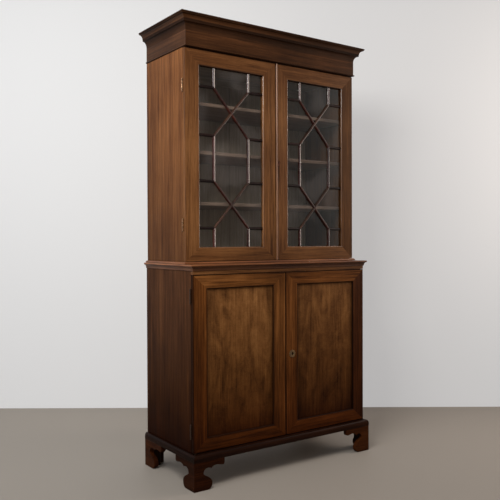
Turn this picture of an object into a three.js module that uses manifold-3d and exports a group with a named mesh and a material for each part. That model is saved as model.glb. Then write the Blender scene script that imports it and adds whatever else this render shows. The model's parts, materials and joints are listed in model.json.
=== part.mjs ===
// A two-part mahogany bookcase: a panelled cupboard on bracket feet below, and a glazed case with a
// moulded cornice on top. Millimetres, +Z up, the front faces -Y, the origin is on the floor under
// the middle of the case. Every piece is its own named mesh, and each door is a group whose own
// origin lies on its hinge axis.
import * as THREE from "three";
import { mergeVertices } from "three/addons/utils/BufferGeometryUtils.js";
import Module from "manifold-3d";

const wasm = await Module();
wasm.setup();

// Overall sizes
const overall_height = 2200;
const lower_width = 1075;
const lower_depth = 467; // back of the case to the face of the doors

// Clearances
const fit = 0.3; // between two pieces that are glued, housed or screwed together
const running = 0.06; // between a pin or a bolt and the hole that it moves in
const door_reveal = 2; // gap above, below and between the doors
const door_seat = 0.5; // gap between a door's back and the case
const cut_over = 5; // how far a cutter runs past the face that it opens
const round_sides = 12; // flats on pins, knuckles and bolts

// Cupboard
const foot_height = 133;
const base_projection = 15.5;
const base_front_projection = 29; // in front of the doors
const base_moulding_height = 32;
const base_step = 5; // flat on top of the base moulding at the sides
const base_ovolo_height = 20;
const lower_door_height = 821;
const waist_rail_height = 18;
const waist_rail_depth = 40;
const waist_moulding_height = 28;
const waist_projection = 16;
const waist_nose = 8; // upright edge of the waist moulding
const waist_quirk = 3; // small step at the foot of the waist moulding
const lower_top_thickness = 22;

// Glazed case
const upper_side_inset = 6; // inside the cupboard's sides
const upper_front_inset = 78; // behind the cupboard's doors
const upper_door_lift = 12; // doors start this far above the cupboard's top
const door_head_gap = 3; // between the upper doors and the cornice
const retaining_height = 10.5;
const retaining_projection = 11.5;
const retaining_edge = 2.5;
const retaining_flat = 1.5;
const retaining_root = 5; // width and depth of its tongue in the cupboard's top

// Boards
const side_thickness = 20;
const case_board = 18; // top and bottom boards of the cases
const shelf_thickness = 17;
const shelf_nose = 2; // softened front edge of a shelf
const housing_depth = 6; // how far boards are let into the sides
const back_thickness = 10;
const back_rebate = 10;
const back_stile = 62; // width of the back frame's stiles and rails
const back_field_depth = 3;
const back_panel_count = 4;
const shelf_setback = 28; // front edge of a shelf behind the case's front edge
const shelf_level_shares = [0.2762, 0.5187, 0.7483]; // undersides, in the glazed case's height
const lower_shelf_share = 0.46; // underside, in the lower door's height

// Cornice
const cornice_height = 149;
const frieze_overhang = 0.5; // outside the glazed case's sides
const frieze_front_overhang = 10; // in front of the glazed doors
const frieze_thickness = 22;
const frieze_seat = 10; // of the front of the frieze, on the glazed case
const frieze_bead_height = 8;
const frieze_bead_projection = 5;
const lower_cove_height = 33;
const lower_cove_width = 20;
const cornice_fillet_height = 7.5;
const cornice_fillet_step = 1.5;
const upper_cove_height = 25.5;
const upper_cove_width = 20;
const cornice_fascia_height = 7;
const cornice_fascia_step = 2.5;

// Bracket feet: one cut-out line, given as shares of the bracket's length and height
const front_bracket_length = 165;
const side_bracket_length = 175;
const bracket_thickness = 22;
const foot_inset = 1; // the feet stand this far inside the base moulding's face
const glue_block = 38;
const bracket_start_shares = [0.436, 0];
const bracket_curve_shares = [
  [0.535, 0, 0.594, 0.105, 0.588, 0.24],
  [0.576, 0.376, 0.473, 0.436, 0.4, 0.489],
  [0.352, 0.526, 0.303, 0.541, 0.303, 0.601],
  [0.303, 0.707, 0.376, 0.767, 0.448, 0.767],
  [0.509, 0.767, 0.533, 0.737, 0.564, 0.729],
  [0.594, 0.797, 0.679, 0.82, 0.752, 0.812],
  [0.824, 0.805, 0.873, 0.774, 0.933, 0.774],
  [0.976, 0.774, 1, 0.81, 1, 0.865],
];
const back_bracket_shares = [
  [0.58, 0],
  [0.58, 0.36],
  [1, 0.9],
];

// Doors
const door_thickness = 20;
const door_arris = 1.5;
const upper_stile = 79;
const upper_top_rail = 75;
const upper_bottom_rail = 68;
const lower_stile = 77;
const lower_rail = 66;
const sticking_width = 5; // quarter-round worked on the inner edge of a door frame
const sticking_depth = 6;
const panel_lip = 8; // wood in front of a wooden panel
const panel_thickness = 7;
const panel_groove = 8;
const glass_lip = 12; // wood in front of the glass
const glass_thickness = 3;
const glass_groove = 8;

// Glazing bars
const bar_width = 13;
const bar_base = 2;
const bar_shoulder = 1.5;
const bar_depth = 7;
const bar_column_shares = [0.23, 0.77];
const bar_row_shares = [0.106, 0.368, 0.623, 0.891];

// Astragal on the meeting edge of the right glazed door
const astragal_width = 10;
const astragal_projection = 5;

// Butt hinges
const hinge_offset = 3.8; // axis outside the side of the case
const knuckle_radius = 3.5;
const knuckle_count = 5;
const pin_radius = 1.75;
const leaf_width = 15;
const leaf_thickness = 2.2;
const upper_hinge_height = 61;
const lower_hinge_height = 69;
const upper_hinge_inset = 142; // end of the door to the end of the hinge
const lower_hinge_inset = 63;

// Locks
const lock_height = 60;
const lock_thickness = 12;
const upper_lock_length = 44;
const lower_lock_length = 62;
const upper_keyhole_inset = 16.5; // from the door's meeting edge
const lower_keyhole_inset = 40;
const upper_keyhole_share = 0.496; // in the door's height
const lower_keyhole_share = 0.5;
const keyhole_radius = 3.6;
const keyhole_slot = 3.6;
const keyhole_length = 12;
const lock_bolt_rise = 16; // bolt above the keyhole
const lock_bolt_height = 10;
const lock_bolt_thickness = 5;
const lock_bolt_length = 26;
const lock_throw = 9;
const insert_rim = 2; // brass round the upper keyhole
const insert_depth = 3;
const insert_projection = 0.6;
const escutcheon_radius = 17;
const escutcheon_thickness = 2.4;
const escutcheon_step = 4;
const escutcheon_drop = 4; // its middle lies below the keyhole's round part

// Slide bolts on the backs of the left doors
const slide_inset = 26; // from the door's meeting edge
const slide_plate_width = 18;
const slide_plate_height = 66;
const slide_plate_thickness = 2;
const slide_radius = 3;
const slide_standoff = 5.5; // bolt's axis behind the plate
const slide_loop_width = 12;
const slide_loop_height = 7;
const slide_loop_wall = 2.2;
const slide_length = 62;
const slide_clear = 2; // between the drawn bolt and the board above it
const slide_plate_drop = 6;
const slide_throw = 12;
const slide_knob_radius = 2.6;
const slide_knob_length = 11;

// Faces and levels that several pieces share
const base_depth = lower_depth + base_front_projection;
const back_plane = base_depth / 2;
const lower_half = lower_width / 2;
const base_half = lower_half + base_projection;
const upper_half = lower_half - upper_side_inset;
const lower_face = back_plane - lower_depth;
const upper_face = lower_face + upper_front_inset;
const lower_front = lower_face + door_thickness + door_seat;
const upper_front = upper_face + door_thickness + door_seat;
const base_top = foot_height + base_moulding_height;
const lower_door_bottom = base_top + door_reveal;
const lower_door_top = lower_door_bottom + lower_door_height;
const waist_rail_bottom = lower_door_top + door_reveal;
const waist_bottom = waist_rail_bottom + waist_rail_height;
const waist_top = waist_bottom + waist_moulding_height;
const lower_top_bottom = waist_top - lower_top_thickness;
const cornice_bottom = overall_height - cornice_height;
const upper_door_bottom = waist_top + upper_door_lift;
const upper_door_top = cornice_bottom - door_head_gap;
const upper_case_height = cornice_bottom - waist_top;

// Materials, with the colours of the old polished mahogany and its fittings
function polished(color, roughness, metalness = 0) {
  return new THREE.MeshStandardMaterial({ color, roughness, metalness });
}
const side_wood = polished(0x6b4229, 0.42);
const door_wood = polished(0x5a3720, 0.38);
const panel_wood = polished(0x63432a, 0.35);
const dark_wood = polished(0x3f281d, 0.42);
const inner_wood = polished(0x4b3526, 0.65);
const bar_wood = polished(0x4a2e20, 0.4);
const brass = polished(0x8f7345, 0.38, 0.9);
const steel = polished(0x55524c, 0.45, 0.9);
const glass = new THREE.MeshStandardMaterial({
  color: 0xcfd8d6,
  roughness: 0.05,
  metalness: 0,
  transparent: true,
  opacity: 0.3,
});

// Solids: turning a mesh into one that booleans can use, and back
function bare(geometry) {
  const plain = geometry.clone();
  plain.deleteAttribute("normal");
  plain.deleteAttribute("uv");
  return mergeVertices(plain);
}

function solidOf(geometry) {
  const plain = bare(geometry);
  const mesh = new wasm.Mesh({
    numProp: 3,
    vertProperties: new Float32Array(plain.attributes.position.array),
    triVerts: new Uint32Array(plain.index.array),
  });
  return new wasm.Manifold(mesh);
}

function geometryOf(solid) {
  const mesh = solid.getMesh();
  const geometry = new THREE.BufferGeometry();
  geometry.setAttribute("position", new THREE.BufferAttribute(mesh.vertProperties, 3));
  geometry.setIndex(new THREE.BufferAttribute(mesh.triVerts, 1));
  return geometry;
}

function join(geometries) {
  const [first, ...rest] = geometries.map(solidOf);
  return geometryOf(rest.reduce((sum, next) => sum.add(next), first));
}

function cut(geometry, cutters) {
  const start = solidOf(geometry);
  return geometryOf(cutters.map(solidOf).reduce((left, next) => left.subtract(next), start));
}

function facingOut(geometry) {
  const at = geometry.attributes.position;
  const [a, b, c] = [new THREE.Vector3(), new THREE.Vector3(), new THREE.Vector3()];
  let volume = 0;
  for (let i = 0; i < geometry.index.count; i += 3) {
    a.fromBufferAttribute(at, geometry.index.getX(i));
    b.fromBufferAttribute(at, geometry.index.getX(i + 1));
    c.fromBufferAttribute(at, geometry.index.getX(i + 2));
    volume += a.dot(b.cross(c));
  }
  if (volume > 0) return geometry;
  const turned = Array.from(geometry.index.array).reverse();
  geometry.setIndex(turned);
  return geometry;
}

// The other hand of a piece: side 1 leaves it, side -1 mirrors it
function handed(geometry, side, along = 1) {
  const plain = bare(geometry);
  plain.scale(side, along, 1);
  return facingOut(plain);
}

// A board between two faces each way
function board([x0, x1], [y0, y1], [z0, z1]) {
  const geometry = new THREE.BoxGeometry(1, 1, 1);
  const at = geometry.attributes.position;
  for (let i = 0; i < at.count; i += 1) {
    at.setXYZ(i, at.getX(i) < 0 ? x0 : x1, at.getY(i) < 0 ? y0 : y1, at.getZ(i) < 0 ? z0 : z1);
  }
  return geometry;
}

// A skin through the same outline at every station, closed into a ring or capped at both ends
function loft(outline, stations, ring = false) {
  const points = stations.flatMap((place) => outline.flatMap((p) => place(p).toArray()));
  const count = outline.length;
  const index = [];
  const spans = ring ? stations.length : stations.length - 1;
  for (let span = 0; span < spans; span += 1) {
    const here = span * count;
    const next = ((span + 1) % stations.length) * count;
    for (let i = 0; i < count; i += 1) {
      const j = (i + 1) % count;
      index.push(here + i, here + j, next + j, here + i, next + j, next + i);
    }
  }
  if (!ring) {
    const last = (stations.length - 1) * count;
    for (const [a, b, c] of THREE.ShapeUtils.triangulateShape(outline, [])) {
      index.push(c, b, a, last + a, last + b, last + c);
    }
  }
  const geometry = new THREE.BufferGeometry();
  geometry.setAttribute("position", new THREE.Float32BufferAttribute(points, 3));
  geometry.setIndex(index);
  return facingOut(geometry);
}

// An outline that runs anticlockwise, as the caps need it
function anticlockwise(outline) {
  return THREE.ShapeUtils.isClockWise(outline) ? outline.slice().reverse() : outline;
}

// Points on a quarter of an ellipse
function quarter(centre, radii, from, to, steps = 6) {
  const [cx, cy] = centre;
  const [rx, ry] = radii;
  const turn = Math.PI / 2;
  const curve = new THREE.EllipseCurve(cx, cy, rx, ry, from * turn, to * turn, to < from);
  return curve.getPoints(steps);
}

function cylinder(radius, height) {
  return new THREE.CylinderGeometry(radius, radius, height, round_sides).rotateX(Math.PI / 2);
}

// A cutter whose flats clear a rod of this radius
function boreFor(radius, height) {
  return cylinder((radius + running) / Math.cos(Math.PI / round_sides), height);
}

// A flat outline in X and Z, given a thickness along Y that starts at the near face
function slab(shape, near, thickness) {
  const geometry = new THREE.ExtrudeGeometry(shape, {
    depth: thickness,
    bevelEnabled: false,
    curveSegments: 4,
  });
  return geometry.rotateX(Math.PI / 2).translate(0, near + thickness, 0);
}

const bookcase = new THREE.Group();

function mesh(group, name, geometry, material) {
  const made = new THREE.Mesh(geometry, material);
  made.name = name;
  group.add(made);
  return made;
}

// A moulding round the two sides and the front, mitred at the front corners. Its section holds
// points of projection and height, and points with no projection lie against the case: on the
// front run these reach back further, to the seat.
function mouldingAround(section, half, face, seat) {
  const reach = (p) => (p.x === 0 ? seat : face - p.x);
  return loft(anticlockwise(section), [
    (p) => new THREE.Vector3(-half - p.x, back_plane, p.y),
    (p) => new THREE.Vector3(-half - p.x, reach(p), p.y),
    (p) => new THREE.Vector3(half + p.x, reach(p), p.y),
    (p) => new THREE.Vector3(half + p.x, back_plane, p.y),
  ]);
}

// Bracket feet
function bracketShape(length) {
  const shape = new THREE.Shape();
  const [start_share] = bracket_start_shares;
  shape.moveTo(0, 0);
  shape.lineTo(start_share * length, 0);
  for (const [ax, az, bx, bz, x, z] of bracket_curve_shares) {
    shape.bezierCurveTo(
      ax * length, az * foot_height,
      bx * length, bz * foot_height,
      x * length, z * foot_height,
    );
  }
  shape.lineTo(length, foot_height);
  shape.lineTo(0, foot_height);
  return shape;
}

function plainBracketShape(length) {
  const shape = new THREE.Shape();
  shape.moveTo(0, 0);
  for (const [x, z] of back_bracket_shares) shape.lineTo(x * length, z * foot_height);
  shape.lineTo(length, foot_height);
  shape.lineTo(0, foot_height);
  return shape;
}

// A foot with its corner at the origin, one bracket along X and one along Y, and a block behind
function footGeometry(across) {
  const acrossBracket = slab(across, 0, bracket_thickness);
  const beside = slab(bracketShape(side_bracket_length), 0, bracket_thickness);
  const sideBracket = handed(beside.rotateZ(Math.PI / 2), -1);
  const inner = bracket_thickness - cut_over;
  const outer = bracket_thickness + glue_block;
  const block = board([inner, outer], [inner, outer], [0, foot_height]);
  return join([acrossBracket, sideBracket, block]);
}

function addFeet(group) {
  const corner_x = base_half - foot_inset;
  const rows = [
    ["front", 1, -base_depth / 2 + foot_inset, bracketShape(front_bracket_length)],
    ["back", -1, back_plane, plainBracketShape(front_bracket_length)],
  ];
  for (const [row, along, y, across] of rows) {
    const foot = footGeometry(across);
    for (const [hand, side] of [["left", 1], ["right", -1]]) {
      const piece = mesh(group, `foot_${row}_${hand}`, handed(foot, side, along), dark_wood);
      piece.position.set(-side * corner_x, y, 0);
    }
  }
}

// Mouldings of the cupboard
function addBaseMoulding(group) {
  const half = lower_half + fit;
  const projection = base_half - half;
  const ovolo_width = projection - base_step;
  const shoulder = base_top - base_ovolo_height;
  const bottom = foot_height + fit;
  const section = [
    new THREE.Vector2(0, bottom),
    new THREE.Vector2(projection, bottom),
    ...quarter([base_step, shoulder], [ovolo_width, base_ovolo_height], 0, 1),
    new THREE.Vector2(0, base_top),
  ];
  const face = -base_depth / 2 + projection;
  mesh(group, "base_moulding", mouldingAround(section, half, face, lower_front - fit), dark_wood);
}

function addWaistMoulding(group) {
  const half = lower_half + fit;
  const projection = waist_projection - fit;
  const nose_bottom = waist_top - waist_nose;
  const top_edge = projection - door_arris;
  const ogee_bottom = waist_bottom + waist_quirk;
  const ogee = new THREE.CubicBezierCurve(
    new THREE.Vector2(waist_quirk, ogee_bottom),
    new THREE.Vector2(projection - waist_quirk * 2, ogee_bottom + fit),
    new THREE.Vector2(waist_quirk * 2, nose_bottom - fit),
    new THREE.Vector2(projection - door_arris, nose_bottom),
  );
  const section = [
    new THREE.Vector2(0, waist_bottom),
    new THREE.Vector2(waist_quirk, waist_bottom),
    ...ogee.getPoints(8),
    new THREE.Vector2(projection, nose_bottom + door_arris),
    new THREE.Vector2(projection, waist_top - door_arris * 2),
    new THREE.Vector2(top_edge, waist_top),
    new THREE.Vector2(0, waist_top),
  ];
  const seat = lower_face - fit;
  mesh(group, "waist_moulding", mouldingAround(section, half, seat, seat), dark_wood);
}

// A side of a case, drawn for the left: housings for the boards, a rebate for the back and
// recesses for the fixed hinge leaves
function caseSide(half, front, [bottom, top], housings, hinge_height, hinge_levels) {
  const inner = side_thickness - half;
  const blank = board([-half, inner], [front, back_plane], [bottom, top]);
  const housed = housings.map(([z, thickness]) =>
    board(
      [inner - housing_depth, inner + cut_over],
      [front - cut_over, back_plane + cut_over],
      [z - fit, z + thickness + fit],
    ),
  );
  const rebate = board(
    [inner - back_rebate, inner + cut_over],
    [back_plane - back_thickness - fit, back_plane + cut_over],
    [bottom - cut_over, top + cut_over],
  );
  const recesses = hinge_levels.map((z) =>
    board(
      [-half - cut_over, -half + leaf_width + fit],
      [front - cut_over, front + leaf_thickness + fit],
      [z - hinge_height / 2 - fit, z + hinge_height / 2 + fit],
    ),
  );
  return cut(blank, [...housed, rebate, ...recesses]);
}

// A board between the sides, let into their housings
function housedBoard(half, [front, back], z, thickness, nose = 0) {
  const reach = half - side_thickness + housing_depth - fit;
  const outline = [
    new THREE.Vector2(front, z + nose),
    new THREE.Vector2(front + nose, z),
    new THREE.Vector2(back, z),
    new THREE.Vector2(back, z + thickness),
    new THREE.Vector2(front + nose, z + thickness),
    new THREE.Vector2(front, z + thickness - nose),
  ];
  const plain = [outline[1], outline[2], outline[3], outline[4]];
  const section = anticlockwise(nose > 0 ? outline : plain);
  return loft(section, [
    (p) => new THREE.Vector3(-reach, p.x, p.y),
    (p) => new THREE.Vector3(reach, p.x, p.y),
  ]);
}

// A framed back with sunk fields, in the rebates of the sides
function caseBack(half, [bottom, top]) {
  const reach = half - side_thickness + back_rebate - fit;
  const front = back_plane - back_thickness;
  const blank = board([-reach, reach], [front, back_plane], [bottom, top]);
  const pitch = (2 * reach - back_stile) / back_panel_count;
  const fields = [];
  for (let i = 0; i < back_panel_count; i += 1) {
    const left = -reach + back_stile + i * pitch;
    fields.push(
      board(
        [left, left + pitch - back_stile],
        [front - cut_over, front + back_field_depth],
        [bottom + back_stile, top - back_stile],
      ),
    );
  }
  return cut(blank, fields);
}

const case_back_front = back_plane - back_thickness - fit;

function hingeLevels(bottom, top, inset, height) {
  return [bottom + inset + height / 2, top - inset - height / 2];
}
const lower_hinge_levels = hingeLevels(
  lower_door_bottom, lower_door_top, lower_hinge_inset, lower_hinge_height,
);
const upper_hinge_levels = hingeLevels(
  upper_door_bottom, upper_door_top, upper_hinge_inset, upper_hinge_height,
);

// Where the slide bolts and their holes lie
const slide_axis_back = slide_plate_thickness + slide_standoff - door_seat / 2;
const slide_x = -door_reveal / 2 - slide_inset;
const slide_hole_depth = slide_throw + slide_clear;

function slideHole(front, z) {
  const hole = boreFor(slide_radius + fit, 2 * slide_hole_depth);
  return hole.translate(slide_x, front - door_seat / 2 + slide_axis_back, z);
}

function addCupboard(group) {
  const side_top = lower_top_bottom - fit;
  const side_bottom = foot_height + fit;
  const bottom_z = base_top - case_board;
  const shelf_z = lower_door_bottom + lower_shelf_share * lower_door_height;
  const side = caseSide(
    lower_half,
    lower_front,
    [side_bottom, side_top],
    [[bottom_z, case_board], [shelf_z, shelf_thickness]],
    lower_hinge_height,
    lower_hinge_levels,
  );
  mesh(group, "lower_side_left", side, side_wood);
  mesh(group, "lower_side_right", handed(side, -1), side_wood);

  const bottom = housedBoard(lower_half, [lower_front, case_back_front], bottom_z, case_board);
  mesh(group, "lower_bottom", bottom, inner_wood);
  const shelf_front = lower_front + shelf_setback;
  const shelf = housedBoard(
    lower_half, [shelf_front, case_back_front], shelf_z, shelf_thickness, shelf_nose,
  );
  mesh(group, "lower_shelf", shelf, inner_wood);
  mesh(group, "lower_back", caseBack(lower_half, [base_top + fit, side_top]), inner_wood);

  // The top, with the rail above the doors under its front and the moulding that keeps the
  // glazed case in place on top
  const top = board([-lower_half, lower_half], [lower_face, back_plane], [lower_top_bottom, waist_top]);
  const rail = board(
    [-lower_half, lower_half],
    [lower_face, lower_front - fit],
    [waist_rail_bottom, waist_top - fit],
  );
  const rail_end = lower_half - side_thickness - fit;
  const inner_rail = board(
    [-rail_end, rail_end],
    [lower_face + fit, lower_face + waist_rail_depth],
    [waist_rail_bottom, waist_top - fit],
  );
  const shoulder = waist_top + retaining_edge;
  const retaining_section = [
    new THREE.Vector2(0, waist_top - retaining_root),
    new THREE.Vector2(retaining_root, waist_top - retaining_root),
    new THREE.Vector2(retaining_root, waist_top + fit),
    new THREE.Vector2(retaining_projection, waist_top + fit),
    ...quarter(
      [retaining_flat, shoulder],
      [retaining_projection - retaining_flat, retaining_height - retaining_edge],
      0, 1, 4,
    ),
    new THREE.Vector2(0, waist_top + retaining_height),
  ];
  const retaining = mouldingAround(
    retaining_section, upper_half + fit, upper_face, upper_front - fit,
  );
  const whole = join([top, rail, inner_rail, retaining]);
  const bored = cut(whole, [slideHole(lower_front, waist_rail_bottom)]);
  mesh(group, "lower_top", bored, side_wood);
}

// Glazed case
function addGlazedCase(group) {
  const case_bottom = waist_top + fit;
  const bottom_z = case_bottom;
  const top_z = cornice_bottom - case_board;
  const shelf_levels = shelf_level_shares.map((share) => waist_top + share * upper_case_height);
  const housings = [
    [bottom_z, case_board],
    ...shelf_levels.map((z) => [z, shelf_thickness]),
    [top_z, case_board],
  ];
  const side = caseSide(
    upper_half,
    upper_front,
    [case_bottom, cornice_bottom],
    housings,
    upper_hinge_height,
    upper_hinge_levels,
  );
  mesh(group, "upper_side_left", side, side_wood);
  mesh(group, "upper_side_right", handed(side, -1), side_wood);

  const depth = [upper_front, case_back_front];
  mesh(group, "upper_bottom", housedBoard(upper_half, depth, bottom_z, case_board), inner_wood);
  const top = housedBoard(upper_half, depth, top_z, case_board);
  mesh(group, "upper_top", cut(top, [slideHole(upper_front, top_z)]), inner_wood);
  mesh(group, "upper_back", caseBack(upper_half, [case_bottom, cornice_bottom]), inner_wood);

  const shelf_depth = [upper_front + shelf_setback, case_back_front];
  const names = ["shelf_low", "shelf_middle", "shelf_high"];
  shelf_levels.forEach((z, i) => {
    const shelf = housedBoard(upper_half, shelf_depth, z, shelf_thickness, shelf_nose);
    mesh(group, names[i], shelf, inner_wood);
  });
}

// The cornice: frieze and crown in one section, with a mitre at each front corner
function corniceSection(thickness) {
  const bottom = cornice_bottom + fit;
  const fascia_bottom = overall_height - cornice_fascia_height;
  const fillet_top = fascia_bottom - upper_cove_height;
  const fillet_bottom = fillet_top - cornice_fillet_height;
  const cove_bottom = fillet_bottom - lower_cove_height;
  const fillet_out = lower_cove_width + cornice_fillet_step;
  const upper_out = fillet_out + upper_cove_width;
  const projection = upper_out + cornice_fascia_step;
  const bead_half = frieze_bead_height / 2;
  const bead = new THREE.EllipseCurve(
    0, bottom + bead_half, frieze_bead_projection, bead_half, -Math.PI / 2, Math.PI / 2,
  );
  return anticlockwise([
    new THREE.Vector2(-thickness, bottom),
    ...bead.getPoints(6),
    ...quarter([lower_cove_width, cove_bottom], [lower_cove_width, lower_cove_height], 2, 1),
    new THREE.Vector2(fillet_out, fillet_bottom),
    ...quarter([upper_out, fillet_top], [upper_cove_width, upper_cove_height], 2, 1),
    new THREE.Vector2(projection, fascia_bottom),
    new THREE.Vector2(projection, overall_height),
    new THREE.Vector2(-thickness, overall_height),
  ]);
}

function addCornice(group) {
  const half = upper_half + frieze_overhang;
  const face = upper_face - frieze_front_overhang;
  const outline = corniceSection(frieze_thickness);
  const front_outline = corniceSection(upper_front - face + frieze_seat);
  const mitre = fit / 2;
  const front = loft(front_outline, [
    (p) => new THREE.Vector3(-half - p.x + mitre, face - p.x, p.y),
    (p) => new THREE.Vector3(half + p.x - mitre, face - p.x, p.y),
  ]);
  const left = loft(outline, [
    (p) => new THREE.Vector3(-half - p.x, face - p.x + mitre, p.y),
    (p) => new THREE.Vector3(-half - p.x, back_plane, p.y),
  ]);
  mesh(group, "cornice_front", front, dark_wood);
  mesh(group, "cornice_left", left, dark_wood);
  mesh(group, "cornice_right", handed(left, -1), dark_wood);
}

// Hinges, drawn for a left door: the axis at the origin, X towards the middle of the case and Y
// towards its back. The fixed leaf carries the odd knuckles and the pin.
function hingeLeaf(height, fixed) {
  const knuckle = height / knuckle_count;
  const gap = fit / 2;
  const near = fixed ? door_seat / 2 : -door_seat / 2 - leaf_thickness;
  const far = near + leaf_thickness;
  const plate = board(
    [hinge_offset, hinge_offset + leaf_width], [near, far], [-height / 2, height / 2],
  );
  const parts = [plate];
  for (let i = fixed ? 0 : 1; i < knuckle_count; i += 2) {
    const low = -height / 2 + i * knuckle + (i > 0 ? gap : 0);
    const high = -height / 2 + (i + 1) * knuckle - (i < knuckle_count - 1 ? gap : 0);
    const barrel = cylinder(knuckle_radius, high - low).translate(0, 0, (low + high) / 2);
    parts.push(barrel, board([0, hinge_offset + leaf_thickness], [near, far], [low, high]));
  }
  if (fixed) return join([...parts, cylinder(pin_radius, height)]);
  return cut(join(parts), [boreFor(pin_radius, height + cut_over)]);
}

const kinds = {
  lower: {
    width: lower_half - door_reveal / 2,
    bottom: lower_door_bottom,
    top: lower_door_top,
    stile: lower_stile,
    bottom_rail: lower_rail,
    top_rail: lower_rail,
    axis_x: lower_half + hinge_offset,
    axis_y: lower_front - door_seat / 2,
    hinge_height: lower_hinge_height,
    hinge_levels: lower_hinge_levels,
    keyhole_inset: lower_keyhole_inset,
    keyhole_z: lower_door_bottom + lower_keyhole_share * lower_door_height,
    lock_length: lower_lock_length,
    ceiling: waist_rail_bottom,
    lip: panel_lip,
    filling: panel_thickness,
    groove: panel_groove,
  },
  upper: {
    width: upper_half - door_reveal / 2,
    bottom: upper_door_bottom,
    top: upper_door_top,
    stile: upper_stile,
    bottom_rail: upper_bottom_rail,
    top_rail: upper_top_rail,
    axis_x: upper_half + hinge_offset,
    axis_y: upper_front - door_seat / 2,
    hinge_height: upper_hinge_height,
    hinge_levels: upper_hinge_levels,
    keyhole_inset: upper_keyhole_inset,
    keyhole_z: upper_door_bottom + upper_keyhole_share * (upper_door_top - upper_door_bottom),
    lock_length: upper_lock_length,
    ceiling: cornice_bottom - case_board,
    lip: glass_lip,
    filling: glass_thickness,
    groove: glass_groove,
  },
};

const door_back = -door_seat / 2;
const door_face = door_back - door_thickness;

function outerOf(kind) {
  return {
    x: [hinge_offset, hinge_offset + kind.width],
    z: [kind.bottom, kind.top],
  };
}

function openingOf(kind) {
  const { x, z } = outerOf(kind);
  return {
    x: [x[0] + kind.stile, x[1] - kind.stile],
    z: [z[0] + kind.bottom_rail, z[1] - kind.top_rail],
  };
}

// Points of a door frame's section: how far in from the door's edge or from the opening's edge,
// and how deep
function outside(inward, y) {
  return { outer: true, inward, y };
}

function inside(inward, y) {
  return { outer: false, inward, y };
}

function frameRing(kind, section) {
  const outer = outerOf(kind);
  const opening = openingOf(kind);
  const corners = [[0, 0], [1, 0], [1, 1], [0, 1]];
  const stations = corners.map(([i, j]) => (p) => {
    const edges = p.outer ? outer : opening;
    const x = edges.x[i] + (i ? -p.inward : p.inward);
    const z = edges.z[j] + (j ? -p.inward : p.inward);
    return new THREE.Vector3(x, p.y, z);
  });
  return loft(section, stations, true);
}

function stickingPoints() {
  return quarter([-sticking_width, door_face + sticking_depth], [sticking_width, sticking_depth], -1, 0, 4)
    .map((p) => inside(p.x, p.y));
}

// A door frame with a groove for its panel or its glass
function doorFrame(kind) {
  const groove_front = door_face + kind.lip;
  const groove_back = groove_front + kind.filling + 2 * fit;
  return frameRing(kind, [
    outside(0, door_face + door_arris),
    outside(door_arris, door_face),
    ...stickingPoints(),
    inside(0, groove_front),
    inside(-kind.groove, groove_front),
    inside(-kind.groove, groove_back),
    inside(0, groove_back),
    inside(0, door_back),
    outside(0, door_back),
  ]);
}

function leafRecesses(kind) {
  const half = kind.hinge_height / 2 + fit;
  return kind.hinge_levels.map((z) =>
    board(
      [hinge_offset - cut_over, hinge_offset + leaf_width + fit],
      [door_back - leaf_thickness - fit, door_back + cut_over],
      [z - half, z + half],
    ),
  );
}

// Locks
function keyholeShape(grow = 0) {
  const shape = new THREE.Shape();
  const radius = keyhole_radius + grow;
  const slot = keyhole_slot / 2 + grow;
  const end = -keyhole_length - grow;
  const turn = Math.asin(slot / radius);
  shape.absarc(0, 0, radius, -Math.PI / 2 + turn, Math.PI * 1.5 - turn, false);
  shape.lineTo(-slot, end);
  shape.lineTo(slot, end);
  return shape;
}

function keyholeCutter(x, z, near, thickness, grow = 0) {
  return slab(keyholeShape(grow), near, thickness).translate(x, 0, z);
}

function lockPlaces(kind) {
  const edge = hinge_offset + kind.width;
  const half = lock_height / 2;
  const depth = lock_thickness / 2;
  const bolt_z = kind.keyhole_z + lock_bolt_rise;
  return {
    edge,
    key_x: edge - kind.keyhole_inset,
    case_x: [edge - kind.lock_length, edge],
    case_y: [door_back - lock_thickness, door_back],
    case_z: [kind.keyhole_z - half, kind.keyhole_z + half],
    bolt_y: [
      door_back - depth - lock_bolt_thickness / 2,
      door_back - depth + lock_bolt_thickness / 2,
    ],
    bolt_z: [bolt_z - lock_bolt_height / 2, bolt_z + lock_bolt_height / 2],
  };
}

function widened([low, high], by) {
  return [low - by, high + by];
}

function lockPocket(kind) {
  const { edge, case_x, case_y, case_z, key_x } = lockPlaces(kind);
  const pocket = board(
    [case_x[0] - fit, edge + cut_over],
    [case_y[0] - fit, door_back + cut_over],
    widened(case_z, fit),
  );
  const keyhole = keyholeCutter(
    key_x, kind.keyhole_z, door_face - cut_over, door_thickness,
  );
  return [pocket, keyhole];
}

function lockCase(kind) {
  const { edge, case_x, case_y, case_z, bolt_y, bolt_z, key_x } = lockPlaces(kind);
  const channel = board(
    [edge - lock_bolt_length - 2 * fit, edge + cut_over],
    widened(bolt_y, running),
    widened(bolt_z, running),
  );
  const keyhole = keyholeCutter(
    key_x, kind.keyhole_z, case_y[0] - cut_over, lock_thickness + cut_over / 2,
  );
  return cut(board(case_x, case_y, case_z), [channel, keyhole]);
}

function lockBolt(kind) {
  const { edge, bolt_y, bolt_z } = lockPlaces(kind);
  return board([edge - lock_bolt_length - fit, edge - fit], bolt_y, bolt_z);
}

// The mortise in the left door that the other door's lock bolt enters
function lockMortise(kind) {
  const { edge, bolt_y, bolt_z } = lockPlaces(kind);
  const depth = lock_throw - door_reveal + 4 * fit;
  return board([edge - depth, edge + cut_over], widened(bolt_y, 2 * fit), widened(bolt_z, 2 * fit));
}

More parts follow.
